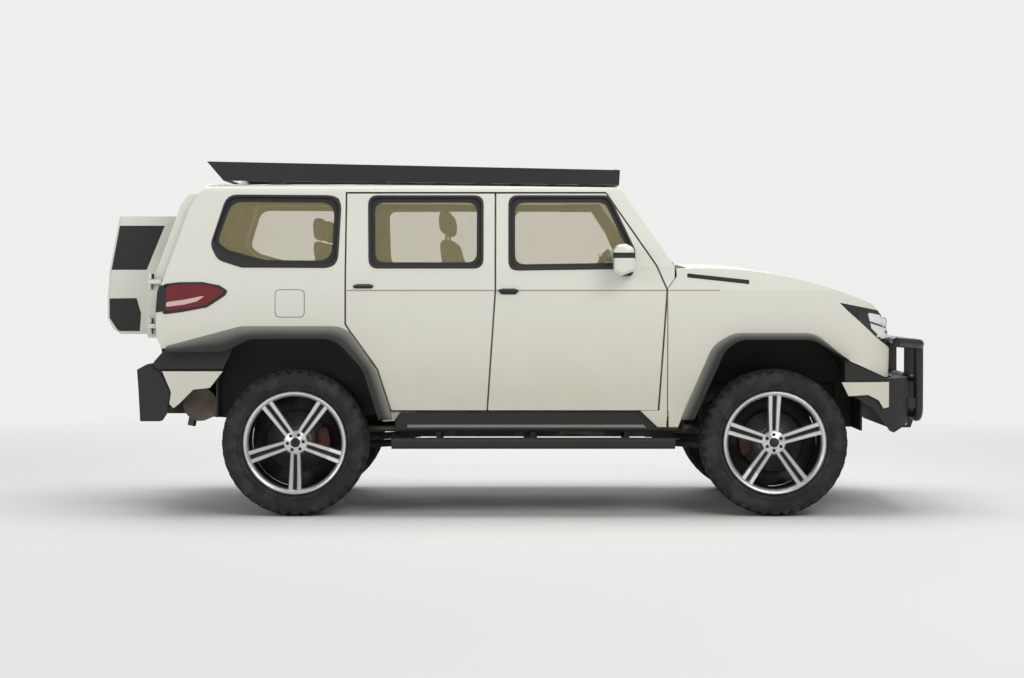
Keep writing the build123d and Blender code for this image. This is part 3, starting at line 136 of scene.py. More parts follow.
floor_mix = floor_tree.nodes.new("ShaderNodeMixShader")
link(
    floor_tree,
    (floor_place.outputs["Object"], floor_length.inputs[0]),
    (floor_length.outputs["Value"], floor_fade.inputs["Value"]),
    (floor_fade.outputs[0], floor_mix.inputs[0]),
    (floor_shader.outputs[0], floor_mix.inputs[1]),
    (floor_glow.outputs[0], floor_mix.inputs[2]),
    (floor_mix.outputs[0], floor_tree.nodes["Material Output"].inputs["Surface"]),
)
floor.data.materials.append(floor_paint)


# Body paint: warm white lacquer over pressed steel, clear-coated, painted darker low on the sides as shade and a
# little road dust, with a painted shade line in the crease.
# The box on the tailgate wears the same paint round its two dark side panels.
class Shade:
    """One value or colour in a material's node tree, so that its maths reads as sums."""

    def __init__(self, finish, socket):
        self.finish, self.socket = finish, socket

    def math(self, operation, *values):
        return self.finish.node("ShaderNodeMath", {"operation": operation}, dict(enumerate(values)))

    def __add__(self, other):
        return self.math("ADD", self, other)

    def __radd__(self, other):
        return self.math("ADD", other, self)

    def __sub__(self, other):
        return self.math("SUBTRACT", self, other)

    def __rsub__(self, other):
        return self.math("SUBTRACT", other, self)

    def __mul__(self, other):
        return self.math("MULTIPLY", self, other)

    def __gt__(self, other):
        return self.math("GREATER_THAN", self, other)

    def __lt__(self, other):
        return self.math("LESS_THAN", self, other)

    def __abs__(self):
        return self.math("ABSOLUTE", self)

    def rise(self, low, high):
        """0 below low, 1 above high and a smooth step between."""
        return self.finish.node(
            "ShaderNodeMapRange",
            {"interpolation_type": "SMOOTHSTEP"},
            {"Value": self, "From Min": low, "From Max": high},
        )


class Finish:
    """One material: its node tree, its main shader and the nodes that feed it."""

    def __init__(self, name, **looks):
        self.material = bpy.data.materials.new(name)
        self.material.use_nodes = True
        self.tree = self.material.node_tree
        self.shader = self.tree.nodes["Principled BSDF"]
        self.set(**looks)

    def feed(self, socket, value):
        """Links a shade to a socket, or sets the socket to a number or colour."""
        if isinstance(value, Shade):
            self.tree.links.new(value.socket, socket)
        elif hasattr(socket.default_value, "__len__") and not hasattr(value, "__len__"):
            socket.default_value = (value,) * len(socket.default_value)
        elif hasattr(value, "__len__") and len(value) == 3 and len(socket.default_value) == 4:
            socket.default_value = (*value, 1)
        else:
            socket.default_value = value

    def node(self, kind, settings, sockets, output=0):
        """A new node's output, its settings made first and then its sockets' values or links."""
        made = self.tree.nodes.new(kind)
        for name, value in settings.items():
            setattr(made, name, value)
        for name, value in sockets.items():
            self.feed(made.inputs[name], value)
        return Shade(self, made.outputs[output])

    def set(self, **looks):
        """Feeds the main shader's sockets, named as in base_color."""
        for name, value in looks.items():
            self.feed(self.shader.inputs[name.replace("_", " ").title()], value)

    def place(self):
        """Where a point is on its piece, in metres."""
        return self.node("ShaderNodeTexCoord", {}, {}, "Object")

    def along(self, axis):
        """One coordinate of the place."""
        return self.node("ShaderNodeSeparateXYZ", {}, {"Vector": self.place()}, "XYZ".index(axis))

    def noise(self, scale, detail=3.0, rough=0.5):
        return self.node(
            "ShaderNodeTexNoise",
            {},
            {"Vector": self.place(), "Scale": scale, "Detail": detail, "Roughness": rough},
        )

    def mix(self, share, first, second):
        return self.node("ShaderNodeMix", {"data_type": "RGBA"}, {0: share, 6: first, 7: second}, 2)

    def bump(self, height, depth, strength=1.0):
        return self.node("ShaderNodeBump", {}, {"Height": height, "Distance": depth, "Strength": strength})


def dress(finish, *names):
    """Gives CAD nodes one material."""
    for name in names:
        slots = nodes[name].data.materials
        slots.clear()
        slots.append(finish.material)


PAINT_COLOUR = (0.77, 0.76, 0.68)
DUST_AND_SHADE_COLOUR = (0.58, 0.54, 0.43)
CREASE_SHADE_COLOUR = (0.30, 0.26, 0.20)
CREASE_Z, CREASE_HALF, CREASE_Y, CREASE_REAR_X, CREASE_FRONT_X = 1.2895, 0.0035, 0.880, -0.945, 1.19
paint = Finish("body_paint", roughness=0.32, coat_weight=0.5, coat_roughness=0.08)
paint_height = paint.along("Z")
# Painted shade and road dust: the paint darkens and dulls towards the bottom of the sides
dust_and_shade = (1 - paint_height.rise(0.55, 1.40)) * 0.62 * (0.65 + paint.noise(5.0) * 0.7)
# Painted shade: a thin dark line in the crease along the doors and the fender
paint_length = paint.along("X")
painted_crease_shade = (
    (abs(paint_height - CREASE_Z) < CREASE_HALF)
    * (abs(paint.along("Y")) > CREASE_Y)
    * (paint_length > CREASE_REAR_X)
    * (paint_length < CREASE_FRONT_X)
)
paint.set(
    base_color=paint.mix(painted_crease_shade * 0.8, paint.mix(dust_and_shade, PAINT_COLOUR, DUST_AND_SHADE_COLOUR), CREASE_SHADE_COLOUR),
    roughness=0.30 + dust_and_shade * 0.6 + paint.noise(60.0) * 0.03,
    normal=paint.bump(paint.noise(900.0, 1.0), 0.00004, 0.25),
)
BODY_NODES = [
    "side_frames", "roof_panel", "front_fenders", "hood", "door_front_right", "door_front_left",
    "door_rear_right", "door_rear_left", "tailgate", "bumper_corners", "rear_box",
]
dress(paint, *BODY_NODES)


def mottled(name, colours, patches, sheen, grain=None, **looks):
    """A finish that wanders between two colours and in roughness, in fine relief where it has a grain.

    patches is the colours' noise scale and detail, and two levels between which they change where the patches are
    distinct; sheen is roughness, its spread and its noise scale; grain is noise scale, detail, depth and strength.
    """
    made = Finish(name, **looks)
    scale, detail, *levels = patches
    share = made.noise(scale, detail)
    roughness, spread, sheen_scale = sheen
    made.set(
        base_color=made.mix(share.rise(*levels) if levels else share, *colours),
        roughness=roughness + made.noise(sheen_scale) * spread,
    )
    if grain:
        made.set(normal=made.bump(made.noise(*grain[:2]), *grain[2:]))
    return made


grained = mottled("grained_plastic", ((0.011, 0.011, 0.011), (0.021, 0.021, 0.019)), (3.0, 3.0), (0.55, 0.15, 25.0),
                  (700.0, 2.0, 0.0003, 0.5))
# The dark panels lie this deep in the box's sides
PANEL_DEPTH = 0.012
box_side_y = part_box("rear_box")[1].y
nodes["rear_box"].data.materials.append(grained.material)
for polygon in nodes["rear_box"].data.polygons:
    sunk = box_side_y - abs(polygon.center.y)
    if abs(polygon.normal.y) > 0.9 and 0.001 < sunk < PANEL_DEPTH:
        polygon.material_index = 1


# Moulded plastic: bumpers, side steps, grille and liners in fine-grained black, clipped and screwed to the body.
# The flares' plastic is dusty grey towards the panel, darkened into black at the wheel with painted shade; the rack
# is coated steel.
flare_finish = Finish("flare_plastic")
# Painted shade: the flare's colour darkens from grey into black towards the wheel
painted_flare_shade = abs(flare_finish.along("Y")).rise(0.893, 0.966)
flare_finish.set(
    base_color=flare_finish.mix(painted_flare_shade, (0.24, 0.235, 0.21), (0.014, 0.014, 0.013)),
    roughness=0.5 + flare_finish.noise(18.0) * 0.2,
    normal=flare_finish.bump(flare_finish.noise(650.0, 2.0), 0.0003, 0.5),
)
dress(flare_finish, "wheel_arch_flares")
dress(grained, "bumpers", "side_steps", "grille", "wheel_liners", "fuel_tank")

coated = mottled("black_coating", ((0.011, 0.010, 0.009), (0.020, 0.018, 0.015)), (4.0, 3.0), (0.36, 0.1, 40.0),
                 (1200.0, 1.0, 0.0002, 0.4), coat_weight=0.15)
dress(coated, "roof_rack", "front_guard")

# Chassis: a black-painted ladder frame under the floor, cast axles and powertrain, and the rolled steel exhaust.
# All of it is CAD, bolted together, and dusty from below.
underside = mottled("frame_paint", ((0.018, 0.018, 0.018), (0.10, 0.088, 0.07)), (7.0, 5.0, 0.45, 0.7),
                    (0.6, 0.25, 30.0), (160.0, 3.0, 0.0008, 0.4))
cast = mottled("cast_metal", ((0.16, 0.16, 0.16), (0.10, 0.085, 0.07)), (9.0, 5.0, 0.4, 0.7), (0.5, 0.2, 50.0),
               (260.0, 3.0, 0.0008, 0.5), metallic=0.75)
steel = mottled("exhaust_steel", ((0.17, 0.155, 0.135), (0.10, 0.070, 0.045)), (6.0, 5.0, 0.35, 0.7),
                (0.38, 0.25, 22.0), metallic=1.0)
dress(underside, "ladder_frame", "suspension", "floor_pan")
dress(cast, "axles", "powertrain", "knuckle_right", "knuckle_left")
dress(steel, "exhaust")

# Windows: tinted safety glass in the greenhouse, the tailgate and the windscreen, each pane a single CAD plate
# bonded into its opening. The rubber is what seals it.
GLASS_TINT = (0.58, 0.50, 0.27)
glass = Finish("tinted_glass", base_color=GLASS_TINT, roughness=0.02, coat_weight=0.0)
glass.set(alpha=0.19 + glass.noise(1.3) * 0.04)
dress(glass, "fixed_windows", "window_front_right", "window_front_left", "window_rear_right",
      "window_rear_left", "tailgate_window")
rubber = mottled("seal_rubber", ((0.009, 0.010, 0.009), (0.018, 0.019, 0.017)), (12.0, 3.0), (0.5, 0.12, 90.0))

# Flares: lofted along each wheel arch between its outer and inner lines, full at the wheel, their dusty grey painted
# darker into black towards the wheel as shade. The front right one stands for the CAD's flares, which it covers.
FLARE_LINES = {
    # outer line, inner line, both as (x, z)
    "front": ([(0.966, 0.551), (1.148, 0.976), (1.265, 1.046), (1.733, 1.046), (1.905, 0.905)],
              [(1.036, 0.551), (1.212, 0.944), (1.290, 1.008), (1.715, 1.008), (1.925, 0.889)]),
    "rear": ([(-0.684, 0.551), (-0.778, 0.838), (-0.945, 1.085), (-1.550, 1.085), (-1.974, 0.972)],
             [(-0.760, 0.551), (-0.850, 0.838), (-1.010, 1.012), (-1.500, 1.012), (-1.640, 0.937), (-1.974, 0.937)]),
}
FLARE_ROUND = 0.16
FLARE_STEPS = 60
# Across the flare: share of the way from its outer to its inner line, and distance from the middle plane
FLARE_SECTION = [
    (0.0, 0.874), (0.0, 0.901), (0.06, 0.909), (0.30, 0.930), (0.62, 0.955), (0.90, 0.972), (0.98, 0.973),
    (1.0, 0.966), (1.0, 0.874),
]
SIDES = ("right", "left")
CHASSIS_BOTH = ("chassis", "chassis")


def rounded(outline, radius, steps=6):
    """The outline with each corner turned into an arc, always with the same number of points."""
    points = [Vector(point) for point in outline]
    around = []
    for before, here, after in zip(points[-1:] + points[:-1], points, points[1:] + points[:1]):
        back, ahead = (before - here).normalized(), (after - here).normalized()
        half = back.angle(ahead) / 2
        reach = min(radius / math.tan(half), 0.48 * (before - here).length, 0.48 * (after - here).length)
        start, end = here + back * reach, here + ahead * reach
        for step in range(steps + 1):
            share = step / steps
            around.append(start.lerp(here, share).lerp(here.lerp(end, share), share))
    return around


def rounded_path(points, radius, steps=8):
    """An open path with its inner corners turned into arcs."""
    arcs = rounded(points, radius, steps)
    return [Vector(points[0]), *arcs[steps + 1:-steps - 1], Vector(points[-1])]


def evenly(path, count):
    """Points at equal steps along a path."""
    lengths = [0.0]
    for a, b in zip(path, path[1:]):
        lengths.append(lengths[-1] + (b - a).length)
    points = []
    for number in range(count):
        target = lengths[-1] * number / (count - 1)
        at = max(index for index in range(len(path) - 1) if lengths[index] <= target + 1e-9)
        span = lengths[at + 1] - lengths[at]
        points.append(path[at].lerp(path[at + 1], (target - lengths[at]) / span if span else 0))
    return points


def plain(name, mesh):
    """The plain mesh of a bmesh, which is freed."""
    made = bpy.data.meshes.new(name)
    mesh.to_mesh(made)
    mesh.free()
    return made


def rings_mesh(name, rings, looped=False):
    """A mesh through rings of equal length, capped at both ends or looped from the last to the first."""
    mesh = bmesh.new()
    rows = [[mesh.verts.new(point) for point in ring] for ring in rings]
    pairs = list(zip(rows, rows[1:])) + ([(rows[-1], rows[0])] if looped else [])
    for low, high in pairs:
        for index in range(len(low)):
            after = (index + 1) % len(low)
            mesh.faces.new((low[index], low[after], high[after], high[index]))
    if not looped:
        mesh.faces.new(rows[0])
        mesh.faces.new(rows[-1])
    bmesh.ops.recalc_face_normals(mesh, faces=mesh.faces)
    return plain(name, mesh)


def mirrored(mesh, name):
    """A copy of a mesh on the other side of the vehicle, its faces turned the right way again."""
    other = mesh.copy()
    other.name = name
    other.transform(Matrix.Scale(-1, 4, (0, 1, 0)))
    other.flip_normals()
    return other


def piece(name, mesh, finish, body, smooth=False):
    """Links a finished mesh as a piece that rides on a body, in the finish given or else its mesh's own."""
    made = bpy.data.objects.new(name, mesh)
    bpy.context.collection.objects.link(made)
    if finish is not None:
        mesh.materials.clear()
        mesh.materials.append(finish.material)
    if smooth:
        mesh.shade_smooth()
    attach(made, body)
    return made


def both_sides(name, mesh, finish, bodies, smooth=False):
    """A piece on the right-hand side and its mirror image on the left, on the bodies given in that order."""
    meshes = (mesh, mirrored(mesh, f"{name}_left"))
    return [piece(f"{name}_{hand}", one, finish, body, smooth)
            for hand, one, body in zip(SIDES, meshes, bodies)]


def flare_mesh(name, outer, inner):
    """The right-hand flare between its two lines."""
    lines = [evenly(rounded_path(line, FLARE_ROUND), FLARE_STEPS) for line in (outer, inner)]
    rings = []
    for out, within in zip(*lines):
        points = [(out.lerp(within, share), y) for share, y in FLARE_SECTION]
        rings.append([Vector((point.x, -y, point.y)) for point, y in points])
    return rings_mesh(name, rings)


for end, (outer, inner) in FLARE_LINES.items():
    flare = flare_mesh(f"flare_{end}_right", outer, inner)
    made = both_sides(f"flare_{end}", flare, flare_finish, CHASSIS_BOTH, smooth=True)
    if end == "front":
        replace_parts(made[0], "wheel_arch_flares")

# Window surrounds: moulded rubber frames that lap onto the panel outside and behind the glass inside, and hide
# the glass's printed black edge. Each is a profile carried round its opening.
BELT_Z, BELT_Y, RAIL_Z, RAIL_Y = 1.427, 0.874, 1.856, 0.772
SIDE_TILT = math.atan2(BELT_Y - RAIL_Y, RAIL_Z - BELT_Z)
SIDE_OUT = Vector((0, -math.cos(SIDE_TILT), math.sin(SIDE_TILT)))
WINDOW_OUTLINES = {
    "door_front": [(-0.008, 1.824), (-0.008, 1.415), (0.694, 1.425), (0.694, 1.520), (0.552, 1.824)],
    "door_rear": [(-0.816, 1.824), (-0.808, 1.427), (-0.176, 1.427), (-0.176, 1.824)],
    "quarter": [(-1.632, 1.828), (-1.722, 1.560), (-1.640, 1.500), (-1.420, 1.440), (-1.010, 1.436), (-0.992, 1.824)],
}
# The quarter window's surround is fuller than its glass at the lower rear corner
QUARTER_OUTSIDE = [
    (-1.632, 1.828), (-1.716, 1.552), (-1.676, 1.474), (-1.545, 1.432), (-1.010, 1.430), (-0.992, 1.824),
]
# Profile across a surround: how far out from the opening's edge, and how far out of the panel
SURROUND = [
    (0.013, 0.0002), (0.012, 0.0035), (0.004, 0.0055), (-0.0015, 0.003), (-0.003, -0.0125), (-0.026, -0.0132),
    (-0.026, -0.0142), (-0.0015, -0.0140),
]
QUARTER_ROUND, DOOR_WINDOW_ROUND, LEAST_ROUND = 0.095, 0.070, 0.018
SEAL_BODIES = {"door_front": "front_{}_door", "door_rear": "rear_{}_door", "quarter": "chassis"}


def side_point(x, z, out=0.0):
    """A point of the right-hand greenhouse's plane, moved out along its normal."""
    y = BELT_Y - (z - BELT_Z) * math.tan(SIDE_TILT)
    return Vector((x, -y, z)) + SIDE_OUT * out


def moved_edges(outline, amount):
    """The outline's corners with every edge moved outwards by amount."""
    points = [Vector(point) for point in outline]
    area = sum(a.cross(b) for a, b in zip(points, points[1:] + points[:1]))
    moved = []
    for before, here, after in zip(points[-1:] + points[:-1], points, points[1:] + points[:1]):
        first, second = ((b - a).normalized() for a, b in ((before, here), (here, after)))
        normals = [Vector((leg.y, -leg.x)) * (1 if area > 0 else -1) for leg in (first, second)]
        moved.append(here + (normals[0] + normals[1]) * (amount / (1 + normals[0].dot(normals[1]))))
    return moved


for key, outline in WINDOW_OUTLINES.items():
    radius = QUARTER_ROUND if key == "quarter" else DOOR_WINDOW_ROUND
    rings = []
    for outwards, out in SURROUND:
        corner = max(LEAST_ROUND, radius + outwards * 0.5 - (0.020 if outwards > -0.002 else 0))
        shape = QUARTER_OUTSIDE if key == "quarter" and outwards > 0 else outline
        rings.append([side_point(x, z, out) for x, z in rounded(moved_edges(shape, outwards), corner)])
    seal = rings_mesh(f"{key}_surround_right", rings, looped=True)
    bodies = [SEAL_BODIES[key].format(hand) for hand in SIDES]
    both_sides(f"{key}_surround", seal, rubber, bodies)


# Tyres: 33-inch off-road tyres, a plain rounded carcass with blocks of tread moulded onto it, staggered from
# row to row, and lugs that come down over the shoulders. The sidewalls are bare.
TYRE_RADIUS = 0.419
TYRE_HALF_WIDTH = 0.158
WHEEL_Y = 0.806
WHEELS = {
    # name: axle x, side, body
    "front_right": (1.5, -1, "front_right_wheel"),
    "front_left": (1.5, 1, "front_left_wheel"),
    "rear_right": (-1.24, -1, "rear_right_wheel"),
    "rear_left": (-1.24, 1, "rear_left_wheel"),
}
tread_rubber = mottled("tyre_rubber", ((0.012, 0.013, 0.012), (0.034, 0.032, 0.027)), (14.0, 4.0, 0.42, 0.68),
                       (0.72, 0.18, 40.0), (300.0, 3.0, 0.0004, 0.5))


def new_group(name, **inputs):
    """An empty node group with a mesh input, inputs given as name=socket kind and a material, and a mesh output."""
    group = bpy.data.node_groups.new(name, "GeometryNodeTree")
    for label, kind in {"Geometry": "Geometry", **inputs, "Material": "Material"}.items():
        group.interface.new_socket(name=label, in_out="INPUT", socket_type=f"NodeSocket{kind}")
    group.interface.new_socket(name="Geometry", in_out="OUTPUT", socket_type="NodeSocketGeometry")
    return group, group.nodes.new("NodeGroupInput").outputs, group.nodes.new


def finish_group(group, given, shape):
    """Ends a node group: copies made real, then the material."""
    real = group.nodes.new("GeometryNodeRealizeInstances")
    coat = group.nodes.new("GeometryNodeSetMaterial")
    result = group.nodes.new("NodeGroupOutput")
    link(group, (shape, real.inputs[0]), (real.outputs[0], coat.inputs["Geometry"]),
         (given["Material"], coat.inputs["Material"]), (coat.outputs[0], result.inputs[0]))
    return group


def round_the_axle():
    """A node group that repeats its mesh round the Y axis and moves it to a wheel."""
    group, given, add = new_group("round_the_axle", Count="Int", Turn="Float", Centre="Vector")
    line = add("GeometryNodeMeshLine")
    line.inputs["Offset"].default_value = (0, 0, 0)
    number = add("GeometryNodeInputIndex")
    share = add("ShaderNodeMath")
    share.operation = "DIVIDE"
    angle = add("ShaderNodeMath")
    angle.operation = "MULTIPLY_ADD"
    angle.inputs[1].default_value = 2 * math.pi
    turn = add("ShaderNodeCombineXYZ")
    copies = add("GeometryNodeInstanceOnPoints")
    moved = add("GeometryNodeTransform")
    link(
        group,
        (given["Count"], line.inputs["Count"]),
        (number.outputs[0], share.inputs[0]),
        (given["Count"], share.inputs[1]),
        (share.outputs[0], angle.inputs[0]),
        (given["Turn"], angle.inputs[2]),
        (angle.outputs[0], turn.inputs["Y"]),
        (line.outputs[0], copies.inputs["Points"]),
        (given["Geometry"], copies.inputs["Instance"]),
        (turn.outputs[0], copies.inputs["Rotation"]),
        (copies.outputs[0], moved.inputs["Geometry"]),
        (given["Centre"], moved.inputs["Translation"]),
    )
    return finish_group(group, given, moved.outputs[0])


def grown_by(group, mesh, name, **values):
    """The plain mesh that a node group makes of a mesh with the values given to its inputs."""
    carrier = bpy.data.objects.new(name, mesh)
    bpy.context.collection.objects.link(carrier)
    modifier = carrier.modifiers.new(name, "NODES")
    modifier.node_group = group
    for item in group.interface.items_tree:
        if item.in_out == "INPUT" and item.name in values:
            modifier[item.identifier] = values[item.name]
    made = bpy.data.meshes.new_from_object(carrier.evaluated_get(bpy.context.evaluated_depsgraph_get()))
    made.name = name
    bpy.data.objects.remove(carrier)
    return made


def joined(name, *meshes):
    """One mesh of several, each keeping its material."""
    mesh = bmesh.new()
    materials = []
    for part in meshes:
        start = len(mesh.faces)
        mesh.from_mesh(part)
        mesh.faces.ensure_lookup_table()
        for face in mesh.faces[start:]:
            material = part.materials[face.material_index] if part.materials else None
            if material not in materials:
                materials.append(material)
            face.material_index = materials.index(material)
    made = plain(name, mesh)
    for material in materials:
        made.materials.append(material)
    return made


def spun(name, outline, sides, finish):
    """A mesh turned round the Y axis from a closed outline of (y, radius) points."""
    mesh = bmesh.new()
    rows = []
    for side in range(sides):
        angle = 2 * math.pi * side / sides
        rows.append([
            mesh.verts.new((radius * math.sin(angle), y, radius * math.cos(angle))) for y, radius in outline])
    for row, after in zip(rows, rows[1:] + rows[:1]):
        for index in range(len(outline)):
            step = (index + 1) % len(outline)
            mesh.faces.new((row[index], row[step], after[step], after[index]))
    bmesh.ops.recalc_face_normals(mesh, faces=mesh.faces)
    made = plain(name, mesh)
    made.materials.append(finish.material)
    made.shade_smooth()
    return made


def lofted_block(name, corners, foot, top, draft=0.88):
    """A tread block on four corners between two radii, its top drawn in by the draft."""
    middle = sum((Vector((x, y, top)) for x, y in corners), Vector()) / 4
    high = [middle + (Vector((x, y, top)) - middle) * draft for x, y in corners]
    return rings_mesh(name, [[Vector((x, y, foot)) for x, y in corners], high])


# Half of the carcass's outline as (y, radius), from the bead to the middle of the tread
CARCASS = [
    (0.1277, 0.297), (0.1300, 0.303), (0.1420, 0.312), (0.1500, 0.330), (0.1530, 0.350), (0.1525, 0.372),
    (0.1460, 0.392), (0.1340, 0.402), (0.1100, 0.4065), (0.0550, 0.4080), (0.0, 0.4085),
]
BEAD = (0.1277, 0.2855)
carcass_outline = [*CARCASS, *((-y, radius) for y, radius in reversed(CARCASS[:-1])), (-BEAD[0], BEAD[1]), BEAD]
TREAD_FOOT = 0.404
TREAD_CLEARANCE, TREAD_CROWN = 0.0014, 0.012
TREAD_COPIES = 40
TREAD_ROWS = [
    # middle y, half width, half length along the tread, share of a step that the row is turned by, skew
    (0.0, 0.016, 0.026, 0.00, 0.010),
    (0.042, 0.018, 0.024, 0.50, -0.010),
    (-0.042, 0.018, 0.024, 0.25, -0.010),
    (0.086, 0.018, 0.025, 0.10, 0.008),
    (-0.086, 0.018, 0.025, 0.60, 0.008),
]
# A lug runs from the tread's edge over the shoulder and down the sidewall: y, radius at its foot and at its top
LUG_SECTIONS = [(0.108, 0.4045, 0.4165), (0.128, 0.402, 0.4130), (0.1450, 0.390, 0.4000), (0.1500, 0.366, 0.3700)]
LUGS = [
    # half length, sections, share of a step that the lugs are turned by
    (0.022, 4, 0.0),
    (0.017, 3, 0.5),
]
LUG_COPIES = 20
SIDEWALL_RIBS = [
    # radius, height
    (0.325, 0.0035),
    (0.347, 0.0025),
]
axle_ring = round_the_axle()


def tyre_mesh(name, centre):
    """One tyre with its rows of blocks, round its axle."""
    parts = []

    def add(part, mesh, count=1, share=0.0):
        parts.append(grown_by(axle_ring, mesh, part, Count=count, Turn=2 * math.pi * share / count, Centre=centre,
                              Material=tread_rubber.material))

    add("carcass", spun("carcass", carcass_outline, 96, tread_rubber))
    for y, half_width, half_length, share, skew in TREAD_ROWS:
        top = TYRE_RADIUS - TREAD_CLEARANCE - abs(y) * TREAD_CROWN
        corners = [(-half_length + skew, y - half_width), (half_length + skew, y - half_width),
                   (half_length - skew, y + half_width), (-half_length - skew, y + half_width)]
        add("row", lofted_block("block", corners, TREAD_FOOT, top), TREAD_COPIES, share)
    for side in (-1, 1):
        for half_length, sections, share in LUGS:
            rings = []
            for y, low, high in LUG_SECTIONS[:sections]:
                out = min(y + (high - low) * 0.55, TYRE_HALF_WIDTH - 0.0005)
                rings.append([
                    Vector((-half_length, side * y, low)), Vector((half_length, side * y, low)),
                    Vector((half_length * 0.88, side * out, high)), Vector((-half_length * 0.88, side * out, high)),
                ])
            add("lugs", rings_mesh("lug", rings), LUG_COPIES, share + (0.25 if side > 0 else 0))
        for radius, height in SIDEWALL_RIBS:
            ring = [
                (side * 0.147, radius - 0.004), (side * (0.1505 + height), radius), (side * 0.147, radius + 0.004)]
            add("rib", spun("rib", ring, 96, tread_rubber))
    return joined(name, *parts)


for name, (axle_x, side, body) in WHEELS.items():
    mesh = tyre_mesh(f"tread_{name}", (axle_x, side * WHEEL_Y, TYRE_RADIUS))
    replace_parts(piece(f"tread_{name}", mesh, None, body), f"tyre_{name}")


# Wheels: cast alloy, five pairs of machined spokes over a dark barrel, a centre cap and six nuts. Each is made
# upright at the origin, its outer face towards +Y, then turned and moved to its axle's end.
alloy = mottled("machined_alloy", ((0.62, 0.62, 0.62), (0.78, 0.78, 0.77)), (8.0, 3.0), (0.28, 0.1, 60.0),
                metallic=0.9)
barrel_finish = mottled("dark_alloy", ((0.020, 0.020, 0.022), (0.045, 0.043, 0.042)), (10.0, 3.0),
                        (0.45, 0.15, 30.0), metallic=0.6)
# Turned outlines as (y, radius)
BARREL = [
    (0.136, 0.297), (0.1285, 0.297), (0.1285, 0.2846), (-0.1285, 0.2846), (-0.1285, 0.297), (-0.136, 0.297),
    (-0.136, 0.270), (0.100, 0.268), (0.118, 0.274), (0.128, 0.281), (0.1345, 0.288),
]
LIP = [
    (0.1362, 0.2965), (0.1325, 0.2885), (0.1265, 0.2815), (0.1165, 0.2745), (0.1000, 0.2685), (0.1000, 0.2640),
    (0.1180, 0.2670), (0.1290, 0.2760), (0.1358, 0.2850),
]
HUB_RING = [
    (0.092, 0.0), (0.092, 0.028), (0.088, 0.033), (0.086, 0.058), (0.080, 0.070), (0.030, 0.080), (0.030, 0.0),
]
NUT = [(0.090, 0.0), (0.104, 0.0), (0.104, 0.0075), (0.101, 0.0105), (0.090, 0.0105)]
CAP = [(0.092, 0.0), (0.101, 0.0), (0.1005, 0.020), (0.097, 0.026), (0.092, 0.0275)]
PAIRS, NUTS, NUT_PLACE = 5, 6, (0, -0.012, 0.046)
SPOKE_GAP, SPOKE_IN, SPOKE_OUT, SPOKE_DEPTH = 0.023, 0.022, 0.028, 0.034
SPOKE_SECTIONS = [
    # radius, share of the spoke's length, y of its face
    (0.050, 0.0, 0.084),
    (0.120, 0.35, 0.092),
    (0.200, 0.7, 0.104),
    (0.272, 1.0, 0.124),
]
WEB_BACK = 0.035
WEB_SECTIONS = [
    # radius, half width, y of its face
    (0.05, 0.020, 0.066),
    (0.16, 0.018, 0.070),
    (0.27, 0.022, 0.092),
]


def spoke_mesh(gap):
    """One spoke as four rings along its length, offset to one side of the middle of its pair."""
    rings = []
    for radius, share, face in SPOKE_SECTIONS:
        half = (SPOKE_IN + (SPOKE_OUT - SPOKE_IN) * share) / 2
        middle = gap * (0.80 + 0.28 * share)
        back, chamfer = face - SPOKE_DEPTH, face - 0.006
        rings.append([
            Vector((middle + x, y, radius)) for x, y in (
                (-half, back), (half, back), (half, chamfer), (half - 0.004, face), (0.004 - half, face),
                (-half, chamfer))
        ])
    return rings_mesh("spoke", rings)


def web_mesh():
    """The dark web behind one pair of spokes."""
    return rings_mesh("web", [
        [Vector((x, y, radius)) for x, y in ((-half, WEB_BACK), (half, WEB_BACK), (half, face), (-half, face))]
        for radius, half, face in WEB_SECTIONS])


def rim_mesh(name, turn):
    """One wheel, its spokes turned by an angle."""
    nut = spun("nut", NUT, 6, barrel_finish)
    nut.transform(Matrix.Translation(NUT_PLACE))
    return joined(name, *(
        grown_by(axle_ring, mesh, "ring", Count=count, Turn=angle, Centre=(0, 0, 0), Material=finish.material)
        for mesh, count, angle, finish in (
            (spun("barrel", BARREL, 96, barrel_finish), 1, 0.0, barrel_finish),
            (spun("lip", LIP, 96, alloy), 1, 0.0, alloy),
            (spun("hub", HUB_RING, 48, alloy), 1, 0.0, alloy),
            (spoke_mesh(-SPOKE_GAP), PAIRS, turn, alloy),
            (spoke_mesh(SPOKE_GAP), PAIRS, turn, alloy),
            (web_mesh(), PAIRS, turn, barrel_finish),
            (nut, NUTS, turn, barrel_finish),
            (spun("cap", CAP, 40, barrel_finish), 1, 0.0, barrel_finish),
        )))


def set_at_axle(mesh, axle_x, side, y=0.0):
    """Turns a wheel's part to face its side and moves it to its axle, y from the middle plane."""
    if side < 0:
        mesh.transform(Matrix.Rotation(math.pi, 4, "Z"))
    mesh.transform(Matrix.Translation((axle_x, side * y, TYRE_RADIUS)))
    return mesh


for name, (axle_x, side, body) in WHEELS.items():
    turn = 0.0 if axle_x > 0 else math.pi / PAIRS
    rim = set_at_axle(rim_mesh(f"alloy_{name}", turn), axle_x, side, WHEEL_Y)
    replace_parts(piece(f"alloy_{name}", rim, None, body), f"rim_{name}")

# Brakes: vented discs that turn with the wheels, gripped by calipers, in front of dark pressed backing plates.
# The calipers and plates stay with the axle, or turn with the steering at the front.
disc_steel = mottled("brake_steel", ((0.30, 0.29, 0.28), (0.42, 0.40, 0.38)), (30.0, 3.0), (0.40, 0.12, 70.0),
                     metallic=0.9)
caliper_finish = mottled("caliper_casting", ((0.16, 0.055, 0.035), (0.09, 0.05, 0.04)), (20.0, 3.0, 0.4, 0.6),
                         (0.55, 0.15, 60.0), metallic=0.3)
